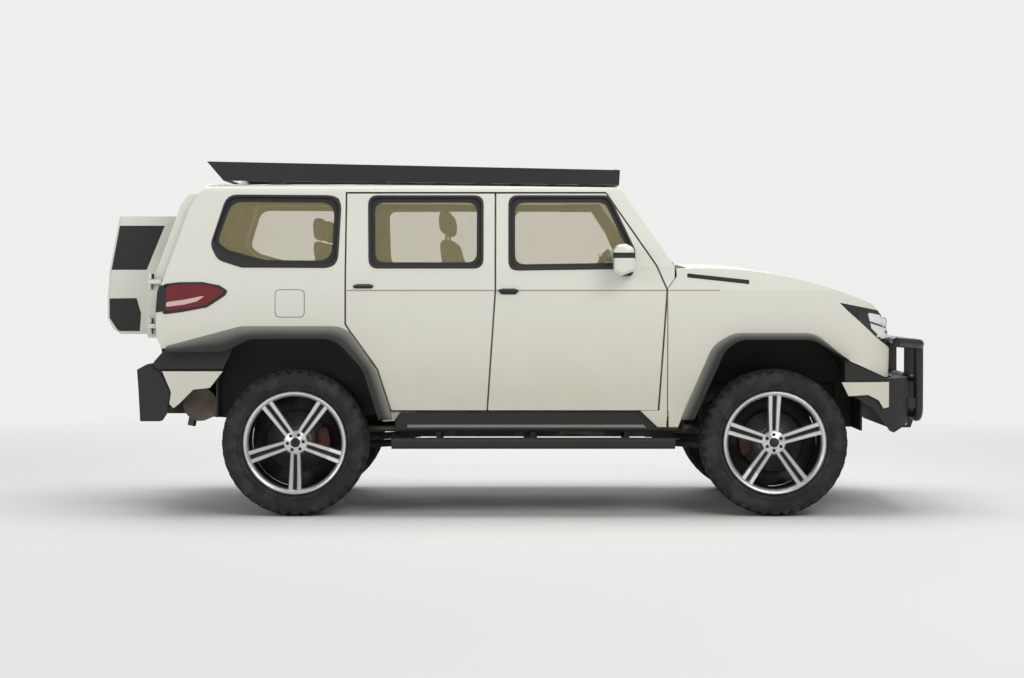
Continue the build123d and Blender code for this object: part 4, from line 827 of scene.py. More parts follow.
# Turned outlines as (y, radius)
DISC = [
    (0.738, 0.175), (0.760, 0.175), (0.760, 0.090), (0.790, 0.086), (0.790, 0.036), (0.783, 0.036), (0.783, 0.080),
    (0.738, 0.084),
]
BACKING_PLATE = [(0.7265, 0.262), (0.7320, 0.259), (0.7320, 0.060), (0.7265, 0.060)]
# At the front both clear the ends of the axle as they turn with the steering
FRONT_DISC_SHIFT = 0.010
FRONT_BACKING_HOLE = 0.145
CALIPER_START, CALIPER_END, CALIPER_STEPS = math.radians(62), math.radians(118), 8
BRAKE_CARRIERS = {
    "front_right": "right_knuckle", "front_left": "left_knuckle", "rear_right": "chassis", "rear_left": "chassis",
}


def caliper_mesh(name):
    """A caliper that grips the disc over an arc of its edge."""
    rings = []
    for step in range(CALIPER_STEPS + 1):
        angle = CALIPER_START + (CALIPER_END - CALIPER_START) * step / CALIPER_STEPS
        draw = 0.006 if step in (0, CALIPER_STEPS) else 0.0
        way = Vector((math.sin(angle), 0, math.cos(angle)))
        section = [(0.7345 + draw, 0.120 + draw), (0.780 - draw, 0.120 + draw), (0.786 - draw, 0.140),
                   (0.786 - draw, 0.186 - draw), (0.778 - draw, 0.194 - draw), (0.7345 + draw, 0.194 - draw)]
        rings.append([way * radius + Vector((0, y, 0)) for y, radius in section])
    return rings_mesh(name, rings)


for name, (axle_x, side, body) in WHEELS.items():
    steered = axle_x > 0
    disc = [(y + FRONT_DISC_SHIFT * steered, radius) for y, radius in DISC]
    backing = [(y, max(radius, FRONT_BACKING_HOLE if steered else 0)) for y, radius in BACKING_PLATE]
    for part, outline, finish, carrier in (
        ("disc", disc, disc_steel, body), ("backing", backing, underside, BRAKE_CARRIERS[name])
    ):
        ring = set_at_axle(spun(f"{part}_{name}", outline, 72, finish), axle_x, side)
        piece(f"{part}_{name}", ring, finish, carrier)
    # Ahead of the axle at the rear and behind it at the front, as the mesh reaches towards +X
    grip = caliper_mesh(f"caliper_{name}")
    grip.transform(Matrix.Diagonal((-1 if steered else 1, side, 1, 1)))
    if steered != (side < 0):
        grip.flip_normals()
    grip.transform(Matrix.Translation((axle_x, 0, TYRE_RADIUS)))
    piece(f"caliper_{name}", grip, caliper_finish, BRAKE_CARRIERS[name])


# Springs: steel coils painted black, wound over the bump-stop cores between the axles and the rails. A node
# group winds each one on a spiral.
def coil_group():
    """A node group that winds a round wire on a spiral over its foot."""
    group, given, add = new_group("coil", Turns="Float", Radius="Float", Height="Float", Wire="Float", Foot="Vector")
    spiral = add("GeometryNodeCurveSpiral")
    spiral.inputs["Resolution"].default_value = 24
    section = add("GeometryNodeCurvePrimitiveCircle")
    section.inputs["Resolution"].default_value = 8
    swept = add("GeometryNodeCurveToMesh")
    swept.inputs["Fill Caps"].default_value = True
    moved = add("GeometryNodeTransform")
    link(
        group,
        (given["Turns"], spiral.inputs["Rotations"]),
        (given["Radius"], spiral.inputs["Start Radius"]),
        (given["Radius"], spiral.inputs["End Radius"]),
        (given["Height"], spiral.inputs["Height"]),
        (given["Wire"], section.inputs["Radius"]),
        (spiral.outputs[0], swept.inputs["Curve"]),
        (section.outputs[0], swept.inputs["Profile Curve"]),
        (swept.outputs[0], moved.inputs["Geometry"]),
        (given["Foot"], moved.inputs["Translation"]),
    )
    return finish_group(group, given, moved.outputs[0])


SPRING_Y, SPRING_FEET = 0.365, {"front": (1.5, 0.478, 0.146), "rear": (-1.24, 0.478, 0.160)}
coil = coil_group()
for end, (spring_x, foot_z, height) in SPRING_FEET.items():
    for hand, side in zip(SIDES, (-1, 1)):
        spring = grown_by(coil, bpy.data.meshes.new("spring"), f"spring_{end}_{hand}", Turns=4.5, Radius=0.056,
                          Height=height, Wire=0.0075, Foot=(spring_x, side * SPRING_Y, foot_z),
                          Material=coated.material)
        spring.shade_smooth()
        piece(f"spring_{end}_{hand}", spring, None, "chassis")

# Lamps: dark glossy housings let into the fenders and the quarter panels, with bright lenses and rings at the
# front and dark red lenses with a pale reversing strip at the rear. The lenses are plates laid on the body:
# their edges follow the surface under them, found by rays against the CAD's faces.
lamp_finish = mottled("lamp_housing", ((0.014, 0.014, 0.016), (0.022, 0.022, 0.024)), (6.0, 3.0), (0.10, 0.05, 40.0),
                      coat_weight=1.0, coat_roughness=0.03)
lens_finish = mottled("clear_lens", ((0.74, 0.77, 0.77), (0.86, 0.88, 0.86)), (40.0, 3.0), (0.12, 0.05, 90.0),
                      coat_weight=1.0, coat_roughness=0.02)
red_finish = mottled("red_lens", ((0.13, 0.006, 0.010), (0.20, 0.012, 0.016)), (25.0, 3.0), (0.14, 0.05, 90.0),
                     coat_weight=1.0, coat_roughness=0.03)
pale_finish = mottled("pale_lens", ((0.62, 0.44, 0.42), (0.72, 0.56, 0.53)), (50.0, 3.0), (0.18, 0.05, 60.0),
                      coat_weight=1.0)
amber_finish = mottled("amber_lens", ((0.62, 0.20, 0.03), (0.72, 0.26, 0.04)), (50.0, 3.0), (0.16, 0.05, 60.0),
                       coat_weight=0.8)
dress(lamp_finish, "lamps")
# The ways that rays go: onto the right-hand side, the front, the rear and the top
RIGHT_WAY, BACK_WAY, AHEAD_WAY, DOWN_WAY = (0, 1, 0), (-1, 0, 0), (1, 0, 0), (0, 0, -1)


def skin_of(*names):
    """A tree of CAD nodes' faces."""
    corners, faces = [], []
    for name in names:
        mesh = nodes[name].data
        faces += [[len(corners) + index for index in polygon.vertices] for polygon in mesh.polygons]
        corners += [vertex.co.copy() for vertex in mesh.vertices]
    return BVHTree.FromPolygons(corners, faces)


def touched(skin, a, b, way):
    """Where a ray that way meets the skin, and the normal there; a and b are the other two coordinates in order."""
    way = Vector(way)
    lying = [index for index in range(3) if abs(way[index]) < 0.5]
    start = way * -4
    start[lying[0]], start[lying[1]] = a, b
    hit, normal, _, _ = skin.ray_cast(start, way)
    return (hit, normal) if hit is not None else (start + way * 4, -way)


def dense(outline, step=0.03):
    """The outline with points added along its long edges."""
    points = []
    for a, b in zip(outline, list(outline[1:]) + [outline[0]]):
        a, b = Vector(a), Vector(b)
        parts = max(1, round((b - a).length / step))
        points += [a.lerp(b, part / parts) for part in range(parts)]
    return points


def laid(name, skin, outline, way, thick, corner=0.006, levels=4, at_x=None):
    """A plate of that thickness laid on the skin from one side, its outline rounded at the corners.

    With at_x, its height over the skin is the one found there, as where the panel beside a recess goes on over it.
    """
    points = dense(rounded(outline, corner, 4))
    middle = sum(points, Vector((0, 0))) / len(points)
    rings = []
    for share, out in [(1, -0.002), (1, thick * 0.6)] + [(0.985 * (1 - n / levels), thick) for n in range(levels)]:
        ring = []
        for point in points:
            here = middle.lerp(point, share)
            hit, normal = touched(skin, here.x if at_x is None else at_x, here.y, way)
            if at_x is not None:
                hit = Vector((here.x, hit.y, hit.z))
            ring.append(hit + normal * out)
        rings.append(ring)
    return rings_mesh(name, rings)


lamp_skin, tail_skin = skin_of("lamps"), skin_of("side_frames")
BESIDE_TAIL_LAMP_X = -1.560
SHARP, SOFT, LEAF = 0.003, 0.012, 0.022
HEAD_LENS_SIDE = [(2.034, 1.163), (2.146, 1.141), (2.146, 1.004), (2.100, 1.034), (2.058, 1.072)]
HEAD_BAR_SIDE = [(2.030, 1.118), (2.152, 1.080), (2.152, 1.070), (2.034, 1.106)]
HEAD_LENS_FRONT = [(-0.845, 1.135), (-0.655, 1.150), (-0.655, 1.075), (-0.845, 1.050)]
HEAD_SIGNAL_FRONT = [(-0.845, 1.035), (-0.655, 1.055), (-0.655, 1.030), (-0.845, 1.008)]
TAIL_FRAME = [
    (-1.992, 1.326), (-1.900, 1.336), (-1.770, 1.337), (-1.672, 1.318), (-1.622, 1.287), (-1.640, 1.258),
    (-1.742, 1.192), (-1.880, 1.166), (-2.000, 1.150),
]
TAIL_LENS = [
    (-1.975, 1.314), (-1.890, 1.324), (-1.772, 1.325), (-1.684, 1.308), (-1.645, 1.284), (-1.660, 1.264),
    (-1.750, 1.206), (-1.880, 1.182), (-1.982, 1.170),
]
TAIL_STREAK = [(-1.975, 1.222), (-1.870, 1.236), (-1.745, 1.262), (-1.800, 1.226), (-1.870, 1.208), (-1.978, 1.194)]
TAIL_LENS_REAR = [(-0.846, 1.315), (-0.884, 1.315), (-0.886, 1.190), (-0.846, 1.190)]
for name, outline, way, thick, corner, at_x, finish, slot in (
    ("head_lens_side", HEAD_LENS_SIDE, RIGHT_WAY, 0.003, SOFT, None, lens_finish, "glass"),
    ("head_bar_side", HEAD_BAR_SIDE, RIGHT_WAY, 0.0045, SHARP, None, lamp_finish, "lamp_cover"),
    ("head_lens_front", HEAD_LENS_FRONT, BACK_WAY, 0.003, SOFT, None, lens_finish, "glass"),
    ("head_signal_front", HEAD_SIGNAL_FRONT, BACK_WAY, 0.003, SOFT, None, lens_finish, "glass"),
    ("tail_frame", TAIL_FRAME, RIGHT_WAY, 0.0050, LEAF, BESIDE_TAIL_LAMP_X, lamp_finish, "lamp_cover"),
    ("tail_lens", TAIL_LENS, RIGHT_WAY, 0.0070, LEAF, BESIDE_TAIL_LAMP_X, red_finish, "lamp_cover"),
    ("tail_streak", TAIL_STREAK, RIGHT_WAY, 0.0082, LEAF, BESIDE_TAIL_LAMP_X, pale_finish, "lamp_cover"),
    ("tail_lens_rear", TAIL_LENS_REAR, AHEAD_WAY, 0.003, SOFT, None, red_finish, "lamp_cover"),
):
    skin = lamp_skin if at_x is None else tail_skin
    both_sides(name, laid(name, skin, outline, way, thick, corner, at_x=at_x), finish, CHASSIS_BOTH)
LAMP_RING = [(0.0, 0.030), (0.006, 0.028), (0.006, 0.024), (0.0, 0.022)]
LAMP_RING_Z = 1.105
for number, y in enumerate((-0.70, -0.80)):
    hit, normal = touched(lamp_skin, y, LAMP_RING_Z, BACK_WAY)
    ring = spun("lamp_ring", LAMP_RING, 32, alloy)
    ring.transform(Matrix.Translation(hit) @ normal.to_track_quat("Y", "Z").to_matrix().to_4x4())
    both_sides(f"head_ring_{number}", ring, alloy, CHASSIS_BOTH, True)


# Door handles: a dark oval dish let into the door, with a flap across it on two feet. Their plates are made
# between two distances from the middle plane, the first where the door's skin is at its outermost.
HANDLES = {"front": (-0.020, 1.283), "rear": (-0.850, 1.308)}
DISH_LENGTH, DISH_HEIGHT = 0.098, 0.034
FLAP_LENGTH, FLAP_HEIGHT = 0.112, 0.017
FOOT_SHIFT = 0.052


def corners_of(x, z, length, height):
    """Corners of a rectangle round a point."""
    return [(x - length / 2, z - height / 2), (x + length / 2, z - height / 2),
            (x + length / 2, z + height / 2), (x - length / 2, z + height / 2)]


def plate(name, outline, back, face, edge=0.002):
    """A plate on the right-hand side between two distances from the middle plane, its outer edge taken off."""
    rings = [[Vector((x, -y, z)) for x, z in points] for points, y in (
        (outline, back), (outline, face - edge), (moved_edges(outline, -edge), face))]
    return rings_mesh(name, rings)


def slab_mesh(name, low, high, edge=0.002):
    """A box between two corners with its edges taken off."""
    mesh = bmesh.new()
    bmesh.ops.create_cube(mesh, size=1)
    size = Vector(high) - Vector(low)
    for vertex in mesh.verts:
        vertex.co = Vector(low) + Vector(c * (v + 0.5) for c, v in zip(size, vertex.co))
    bmesh.ops.bevel(mesh, geom=mesh.edges[:], offset=edge, segments=2, affect="EDGES")
    return plain(name, mesh)


for end, (x, z) in HANDLES.items():
    door_skin = skin_of(f"door_{end}_right")
    floor_y = max(-touched(door_skin, x, z + shift, RIGHT_WAY)[0].y for shift in (0, DISH_HEIGHT / 2))
    bodies = (f"{end}_right_door", f"{end}_left_door")
    dish_outline = rounded(corners_of(x, z, DISH_LENGTH, DISH_HEIGHT), 0.0165, 8)
    dish = plate("dish", dish_outline, floor_y - 0.001, floor_y + 0.0012, 0.0005)
    both_sides(f"handle_dish_{end}", dish, grained, bodies)
    flap_outline = rounded(corners_of(x, z + 0.004, FLAP_LENGTH, FLAP_HEIGHT), 0.008, 6)
    flap = plate("flap", flap_outline, floor_y + 0.006, floor_y + 0.0155, 0.003)
    both_sides(f"handle_flap_{end}", flap, coated, bodies)
    for number, shift in enumerate((-FOOT_SHIFT, FOOT_SHIFT)):
        foot_x = x + shift
        foot = slab_mesh("foot", (foot_x - 0.005, -floor_y - 0.0085, z - 0.003),
                         (foot_x + 0.005, -floor_y + 0.012, z + 0.011))
        both_sides(f"handle_foot_{end}_{number}", foot, coated, bodies)


# Vent behind the front wheel: a dark slit in the fender with a row of upright fins, moulded in one piece and
# clipped in. A node group repeats the fin.
def row_group():
    """A node group that repeats its mesh at even steps."""
    group, given, add = new_group("in_a_row", Count="Int", Step="Vector")
    line = add("GeometryNodeMeshLine")
    copies = add("GeometryNodeInstanceOnPoints")
    link(
        group,
        (given["Count"], line.inputs["Count"]),
        (given["Step"], line.inputs["Offset"]),
        (line.outputs[0], copies.inputs["Points"]),
        (given["Geometry"], copies.inputs["Instance"]),
    )
    return finish_group(group, given, copies.outputs[0])


in_a_row = row_group()


def row(name, mesh, count, step, finish):
    """A mesh repeated at even steps."""
    return grown_by(in_a_row, mesh, name, Count=count, Step=step, Material=finish.material)


VENT = [(1.002, 1.3865), (1.356, 1.3485), (1.356, 1.3245), (1.002, 1.3635)]
VENT_FINS, VENT_STEP = 12, (0.0285, 0, -0.00306)
fender_skin = skin_of("front_fenders")
vent_plate = laid("vent", fender_skin, VENT, RIGHT_WAY, 0.0012, 0.004)
both_sides("vent", vent_plate, grained, CHASSIS_BOTH)
vent_y = -touched(fender_skin, 1.18, 1.355, RIGHT_WAY)[0].y
fin = slab_mesh("fin", (1.022, -vent_y - 0.006, 1.3640), (1.027, -vent_y + 0.001, 1.3840), 0.001)
vent_fins = row("vent_fins", fin, VENT_FINS, VENT_STEP, coated)
both_sides("vent_fins", vent_fins, coated, CHASSIS_BOTH)

# Sill: the rocker's plastic cover has sloped ends and a paler strip along its foot. The painted panels reach
# down round its front end, as a corner below the door and a foot of the fender.
ROCKER_PLATE = [(-0.640, 0.590), (-0.672, 0.545), (-0.672, 0.484), (0.822, 0.484), (0.720, 0.590)]
ROCKER_STRIP = [(-0.600, 0.520), (-0.600, 0.502), (0.770, 0.502), (0.752, 0.520)]
SILL_CORNER = [(0.735, 0.600), (0.833, 0.506), (0.884, 0.506), (0.884, 0.602)]
FENDER_FOOT = [(0.896, 0.606), (0.896, 0.506), (0.950, 0.506), (0.992, 0.606)]
for name, outline, back, face, edge, finish, slot in (
    ("rocker_cover", ROCKER_PLATE, 0.862, 0.879, 0.006, grained, "black_plastic"),
    ("rocker_strip", ROCKER_STRIP, 0.870, 0.882, 0.003, flare_finish, "black_plastic"),
    ("sill_corner", SILL_CORNER, 0.850, 0.886, 0.003, paint, "body_paint"),
    ("fender_foot", FENDER_FOOT, 0.850, 0.892, 0.003, paint, "body_paint"),
):
    both_sides(name, plate(name, outline, back, face, edge), finish, CHASSIS_BOTH)

# Filler flap: a painted lid with round corners, on the right-hand quarter panel only. It is laid over a
# slightly larger rubber plate, which shows as the thin dark gap round it.
FILLER = corners_of(-1.270, 1.215, 0.170, 0.160)
FILLER_GAP = 0.0035
side_skin = skin_of("side_frames")
filler_gap = laid("filler_gap", side_skin, FILLER, RIGHT_WAY, 0.0006, 0.03)
piece("filler_gap", filler_gap, rubber, "chassis")
filler_lid = laid("filler_lid", side_skin, moved_edges(FILLER, -FILLER_GAP), RIGHT_WAY, 0.0014, 0.027)
piece("filler_lid", filler_lid, paint, "chassis")

# Mirrors: a painted shell with a dark band across it, moulded in rings from the door outwards, on a black foot.
# The glass is let into the rear face, and an amber repeater sits outside.
MIRROR_HEAD = [
    (0.703, 1.402), (0.690, 1.531), (0.642, 1.556), (0.596, 1.550), (0.571, 1.510), (0.572, 1.392), (0.620, 1.370),
]
# Distance from the middle plane, and the share of the outline's size there
MIRROR_RINGS = [
    (0.905, 0.72), (0.908, 0.86), (0.918, 0.955), (0.940, 1.0), (1.020, 0.99), (1.052, 0.95), (1.067, 0.87),
    (1.0745, 0.74),
]
BAND_LOW_Z, BAND_HIGH_Z = 1.472, 1.503
MIRROR_BODIES = ("front_right_door", "front_left_door")
mirror_middle = sum((Vector(point) for point in MIRROR_HEAD), Vector((0, 0))) / len(MIRROR_HEAD)
mirror_outline = rounded(MIRROR_HEAD, 0.030, 5)
shell = rings_mesh("mirror_shell", [
    [Vector((x, -y, z)) for x, z in (mirror_middle.lerp(point, scale) for point in mirror_outline)]
    for y, scale in MIRROR_RINGS])
cut = bmesh.new()
cut.from_mesh(shell)
for z in (BAND_LOW_Z, BAND_HIGH_Z):
    whole = cut.verts[:] + cut.edges[:] + cut.faces[:]
    bmesh.ops.bisect_plane(cut, geom=whole, plane_co=(0, 0, z), plane_no=(0, 0, 1))
for face in cut.faces:
    face.material_index = 1 if BAND_LOW_Z < face.calc_center_median().z < BAND_HIGH_Z else 0
cut.to_mesh(shell)
cut.free()
shell.materials.append(paint.material)
shell.materials.append(grained.material)
shell.shade_smooth()
for head, hand in zip(both_sides("mirror_head", shell, None, MIRROR_BODIES), SIDES):
    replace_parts(head, f"mirror_{hand}")
mirror_glass = Finish("mirror_glass", metallic=1.0, base_color=(0.60, 0.63, 0.65))
mirror_glass.set(roughness=0.03 + mirror_glass.noise(8.0) * 0.02)
for name, low, high, edge, finish, slot in (
    ("mirror_foot", (0.612, -0.935, 1.372), (0.690, -0.870, 1.432), 0.010, grained, "black_plastic"),
    ("mirror_strip", (0.622, -1.0735, 1.4380), (0.684, -1.0500, 1.4560), 0.002, amber_finish, "lamp_cover"),
    ("mirror_pane", (0.5690, -1.050, 1.405), (0.5720, -0.930, 1.528), 0.001, mirror_glass, "glass"),
):
    both_sides(name, slab_mesh(name, low, high, edge), finish, MIRROR_BODIES)

# Windscreen and tailgate window: a black border of ceramic print and rubber over the glass's edge, carried
# round each opening as the side windows' surrounds are. Two wipers are parked at the screen's foot.
SCREEN_FOOT_X, SCREEN_FOOT_Z, SCREEN_SLOPE = 0.930, 1.427, 0.682
SCREEN = [(-0.790, 1.413), (0.790, 1.413), (0.676, 1.840), (-0.676, 1.840)]
GATE_WINDOW = [(-0.640, 1.440), (0.640, 1.440), (0.585, 1.800), (-0.585, 1.800)]
SCREEN_ROUND = 0.060
# Profile across a border: how far out from the opening's edge, and how far out of the panel
BORDER = [(0.012, 0.001), (0.010, 0.004), (-0.004, 0.005), (-0.034, 0.0045), (-0.036, 0.001), (-0.004, -0.004)]
WIPERS = [(-0.62, -0.06), (-0.02, 0.56)]
gate_skin = skin_of("tailgate")
gate_low, gate_high = (touched(gate_skin, 0.700, z, AHEAD_WAY)[0] for z in (1.450, 1.790))
gate_slope = (gate_high.x - gate_low.x) / (gate_high.z - gate_low.z)


def screen_point(y, z, out=0.0):
    """A point of the windscreen's outer plane, moved out along its normal."""
    normal = Vector((1, 0, SCREEN_SLOPE)).normalized()
    return Vector((SCREEN_FOOT_X - (z - SCREEN_FOOT_Z) * SCREEN_SLOPE, y, z)) + normal * out


def gate_point(y, z, out=0.0):
    """A point of the tailgate's outer plane round its window, moved out along its normal."""
    normal = Vector((-1, 0, gate_slope)).normalized()
    return Vector((gate_low.x + (z - gate_low.z) * gate_slope, y, z)) + normal * out


def tube_group():
    """A node group that sweeps a round section along the edges of its mesh."""
    group, given, add = new_group("tube_along", Radius="Float", Sides="Int")
    path = add("GeometryNodeMeshToCurve")
    section = add("GeometryNodeCurvePrimitiveCircle")
    swept = add("GeometryNodeCurveToMesh")
    swept.inputs["Fill Caps"].default_value = True
    link(
        group,
        (given["Geometry"], path.inputs["Mesh"]),
        (given["Radius"], section.inputs["Radius"]),
        (given["Sides"], section.inputs["Resolution"]),
        (path.outputs[0], swept.inputs["Curve"]),
        (section.outputs[0], swept.inputs["Profile Curve"]),
    )
    return finish_group(group, given, swept.outputs[0])


tube_along = tube_group()


def tube(name, runs, radius, finish, closed=False, sides=10):
    """Round tubes through runs of points."""
    mesh = bmesh.new()
    for run in runs:
        made = [mesh.verts.new(point) for point in run]
        for a, b in list(zip(made, made[1:])) + ([(made[-1], made[0])] if closed else []):
            mesh.edges.new((a, b))
    swept = grown_by(tube_along, plain(name, mesh), name, Radius=radius, Sides=sides, Material=finish.material)
    swept.shade_smooth()
    return swept


for name, outline, point_of, body in (
    ("screen_border", SCREEN, screen_point, "chassis"), ("gate_border", GATE_WINDOW, gate_point, "rear_gate")
):
    rings = []
    for wide, out in BORDER:
        edge = rounded(moved_edges(outline, wide), max(0.02, SCREEN_ROUND + wide * 0.5))
        rings.append([point_of(y, z, out) for y, z in edge])
    piece(name, rings_mesh(name, rings, looped=True), rubber, body)
for number, (pivot_y, tip_y) in enumerate(WIPERS):
    foot = screen_point(pivot_y, 1.428, 0.0)
    arm = [screen_point(pivot_y, 1.428, 0.010), screen_point(pivot_y + 0.06, 1.438, 0.022),
           screen_point((pivot_y + tip_y) / 2 + 0.06, 1.466, 0.020)]
    blade = [screen_point(pivot_y + (tip_y - pivot_y) * (0.12 + 0.88 * n / 8), 1.452 + 0.028 * n / 8, 0.010)
             for n in range(9)]
    wiper = joined(
        "wiper",
        tube("arm", [arm], 0.006, coated, sides=8),
        tube("blade", [blade], 0.0045, coated, sides=8),
        tube("pivot", [[foot, screen_point(pivot_y, 1.428, 0.018)]], 0.014, coated),
    )
    piece(f"wiper_{number}", wiper, coated, "chassis")

# Grille: upright moulded fins close the gaps between the bars, in three spans of each row. One fin is set
# behind the bars' front face and repeated across its span.
GRILLE_ROWS_Z = (0.893, 0.943, 0.993, 1.043, 1.093)
GRILLE_SPANS_Y = (-0.282, 0.0, 0.282)
GRILLE_HALF, FIN_HALF, FIN_THICK, FINS = 0.118, 0.0145, 0.0022, 20
FIN_STEP = (0, 2 * GRILLE_HALF / 19.2, 0)
grille_skin = skin_of("grille")
fins = []
for z in GRILLE_ROWS_Z:
    face_x = touched(grille_skin, 0.141, z, BACK_WAY)[0].x
    for y in GRILLE_SPANS_Y:
        bar = slab_mesh("bar", (face_x - 0.014, y - GRILLE_HALF, z - FIN_HALF),
                        (face_x - 0.006, y - GRILLE_HALF + FIN_THICK, z + FIN_HALF), 0.0006)
        fins.append(row("bars", bar, FINS, FIN_STEP, coated))
piece("grille_fins", joined("grille_fins", *fins), coated, "chassis")

# Roof rack and side steps: four steel bolts hold each slat of the rack, and rubber ribs along the steps give
# grip. The slats rise towards the rear, so the rows of bolts do too.
SLATS, FIRST_SLAT, LAST_SLAT = 10, Vector((0.480, 0, 1.958)), Vector((-1.572, 0, 2.001))
SLAT_TOP = 0.013
BOLT_YS = (-0.650, -0.220, 0.220, 0.650)
BOLT_RADIUS, BOLT_HEIGHT = 0.009, 0.006
BOLT = [(0.0, 0.0), (0.0, BOLT_RADIUS), (BOLT_HEIGHT * 0.8, BOLT_RADIUS), (BOLT_HEIGHT, BOLT_RADIUS * 0.8),
        (BOLT_HEIGHT, 0.0)]
RIB_YS, RIB_XS = (-0.925, -0.940, -0.955, -0.970), (-0.48, -0.2, 0.1, 0.4, 0.72)
slat_step = (LAST_SLAT - FIRST_SLAT) / (SLATS - 1)
for number, y in enumerate(BOLT_YS):
    one = spun("bolt", BOLT, 6, steel)
    one.transform(Matrix.Rotation(math.radians(90), 4, "X"))
    one.transform(Matrix.Translation(FIRST_SLAT + Vector((0, y, SLAT_TOP))))
    piece(f"rack_bolts_{number}", row("rack_bolts", one, SLATS, slat_step, steel), steel, "chassis")

step_skin = skin_of("side_steps")
ribs = []
for y in RIB_YS:
    run = [touched(step_skin, x, y, DOWN_WAY)[0] + Vector((0, 0, 0.0005)) for x in RIB_XS]
    ribs.append(tube("rib", [run], 0.0035, rubber, sides=8))
both_sides("step_ribs", joined("step_ribs", *ribs), rubber, CHASSIS_BOTH)

# Box on the tailgate: black steel hinges on its sides, and a lid whose seam and two latches face the rear. The
# seam is a rubber bead let into the box's face, so that it stays within the vehicle's length.
HINGE_X, HINGE_ZS, HINGE_HALF, HINGE_TALL = -2.070, (1.340, 1.040), 0.020, 0.022
LATCH_YS, LATCH_HALF, LATCH_LOW_Z, LATCH_MIDDLE_Z, LATCH_HIGH_Z = (-0.22, 0.22), 0.018, 1.270, 1.300, 1.345
LID = [(-0.345, 1.075), (0.345, 1.075), (0.345, 1.680), (-0.345, 1.680)]
SEAM_RADIUS, SEAM_DEPTH = 0.0022, 0.0017
box_skin = skin_of("rear_box")
for number, z in enumerate(HINGE_ZS):
    hit, _ = touched(box_skin, HINGE_X, z, RIGHT_WAY)
    hinge = slab_mesh("hinge", (hit.x - HINGE_HALF, hit.y - 0.006, z - HINGE_TALL),
                      (hit.x + HINGE_HALF, hit.y + 0.002, z + HINGE_TALL), 0.003)
    both_sides(f"box_hinge_{number}", hinge, coated, ("rear_gate", "rear_gate"))
for number, y in enumerate(LATCH_YS):
    hit, _ = touched(box_skin, y, LATCH_MIDDLE_Z, AHEAD_WAY)
    latch = slab_mesh("latch", (hit.x - 0.004, y - LATCH_HALF, LATCH_LOW_Z),
                      (hit.x + 0.004, y + LATCH_HALF, LATCH_HIGH_Z), 0.003)
    piece(f"box_latch_{number}", latch, coated, "rear_gate")
lid_line = [touched(box_skin, y, z, AHEAD_WAY)[0] + Vector((SEAM_DEPTH, 0, 0))
            for y, z in dense(rounded(LID, 0.04, 5), 0.04)]
lid_seam = tube("box_lid_seam", [lid_line], SEAM_RADIUS, rubber, closed=True, sides=6)
piece("box_lid_seam", lid_seam, None, "rear_gate")

# Number plates: blank pale plates in dark holders, one laid on each bumper. Nothing is written on them.
# They are set in the middle of the front bumper and of the rear one.
plate_white = mottled("blank_plate", ((0.70, 0.70, 0.68), (0.78, 0.78, 0.76)), (20.0, 3.0), (0.35, 0.08, 80.0))
bumper_skin = skin_of("bumpers")
for end, way, z in (("rear", AHEAD_WAY, 0.690), ("front", BACK_WAY, 0.640)):
    for part, width, height, thick, finish, slot in (
        ("holder", 0.524, 0.120, 0.004, coated, "black_plastic"),
        ("plate", 0.508, 0.104, 0.006, plate_white, "trim_plastic"),
    ):
        made = laid(f"{end}_{part}", bumper_skin, corners_of(0, z, width, height), way, thick, 0.008)
        piece(f"{end}_{part}", made, finish, "chassis")

# Cabin: dashboard, door cards and steering wheel in dark moulded trim, a pale headlining, and dark carpet on
# the floor. The CAD's inner faces take these finishes, and the dashboard gets its displays, vents and glovebox.
trim = mottled("cabin_trim", ((0.030, 0.029, 0.028), (0.055, 0.052, 0.048)), (4.0, 3.0), (0.6, 0.15, 30.0),
               (500.0, 2.0, 0.0003, 0.4))
carpet = mottled("carpet", ((0.025, 0.024, 0.023), (0.055, 0.052, 0.048)), (300.0, 2.0), (0.85, 0.1, 50.0),
                 (600.0, 2.0, 0.0012, 0.6))
lining = mottled("headlining", ((0.20, 0.19, 0.16), (0.28, 0.27, 0.23)), (200.0, 2.0), (0.85, 0.1, 60.0))
dress(trim, "dashboard", "steering_wheel")


def line_inside(name, finish, wanted):
    """Gives the node's faces that a test picks by centre and normal a second finish."""
    mesh = nodes[name].data
    mesh.materials.append(finish.material)
    for polygon in mesh.polygons:
        if wanted(polygon.center, polygon.normal):
            polygon.material_index = len(mesh.materials) - 1


for end in ("front", "rear"):
    for hand, side in zip(SIDES, (-1, 1)):
        line_inside(f"door_{end}_{hand}", trim, lambda c, n, side=side: n.y * side < -0.5 and abs(c.y) < 0.87)
line_inside("side_frames", trim, lambda c, n: abs(c.y) < 0.84 and n.y * c.y < 0 and abs(n.y) > 0.5)
line_inside("roof_panel", lining, lambda c, n: n.z < -0.6)
line_inside("tailgate", trim, lambda c, n: n.x > 0.7 and c.z < 1.42)
# The floor itself, the upright faces ahead of and behind the feet, and the sides of the tunnel
line_inside("floor_pan", carpet, lambda c, n: (
    n.z > 0.6 or (n.x > 0.6 and -1.5 < c.x < 0) or (n.x < -0.6 and c.x > 0.3)
    or (n.y * c.y > 0 and abs(n.y) > 0.6 and abs(c.y) < 0.35)))
# The panel below the tailgate shows when that is open
line_inside("floor_pan", paint, lambda c, n: n.x < -0.7 and c.z > 0.7 and c.x < -1.7)

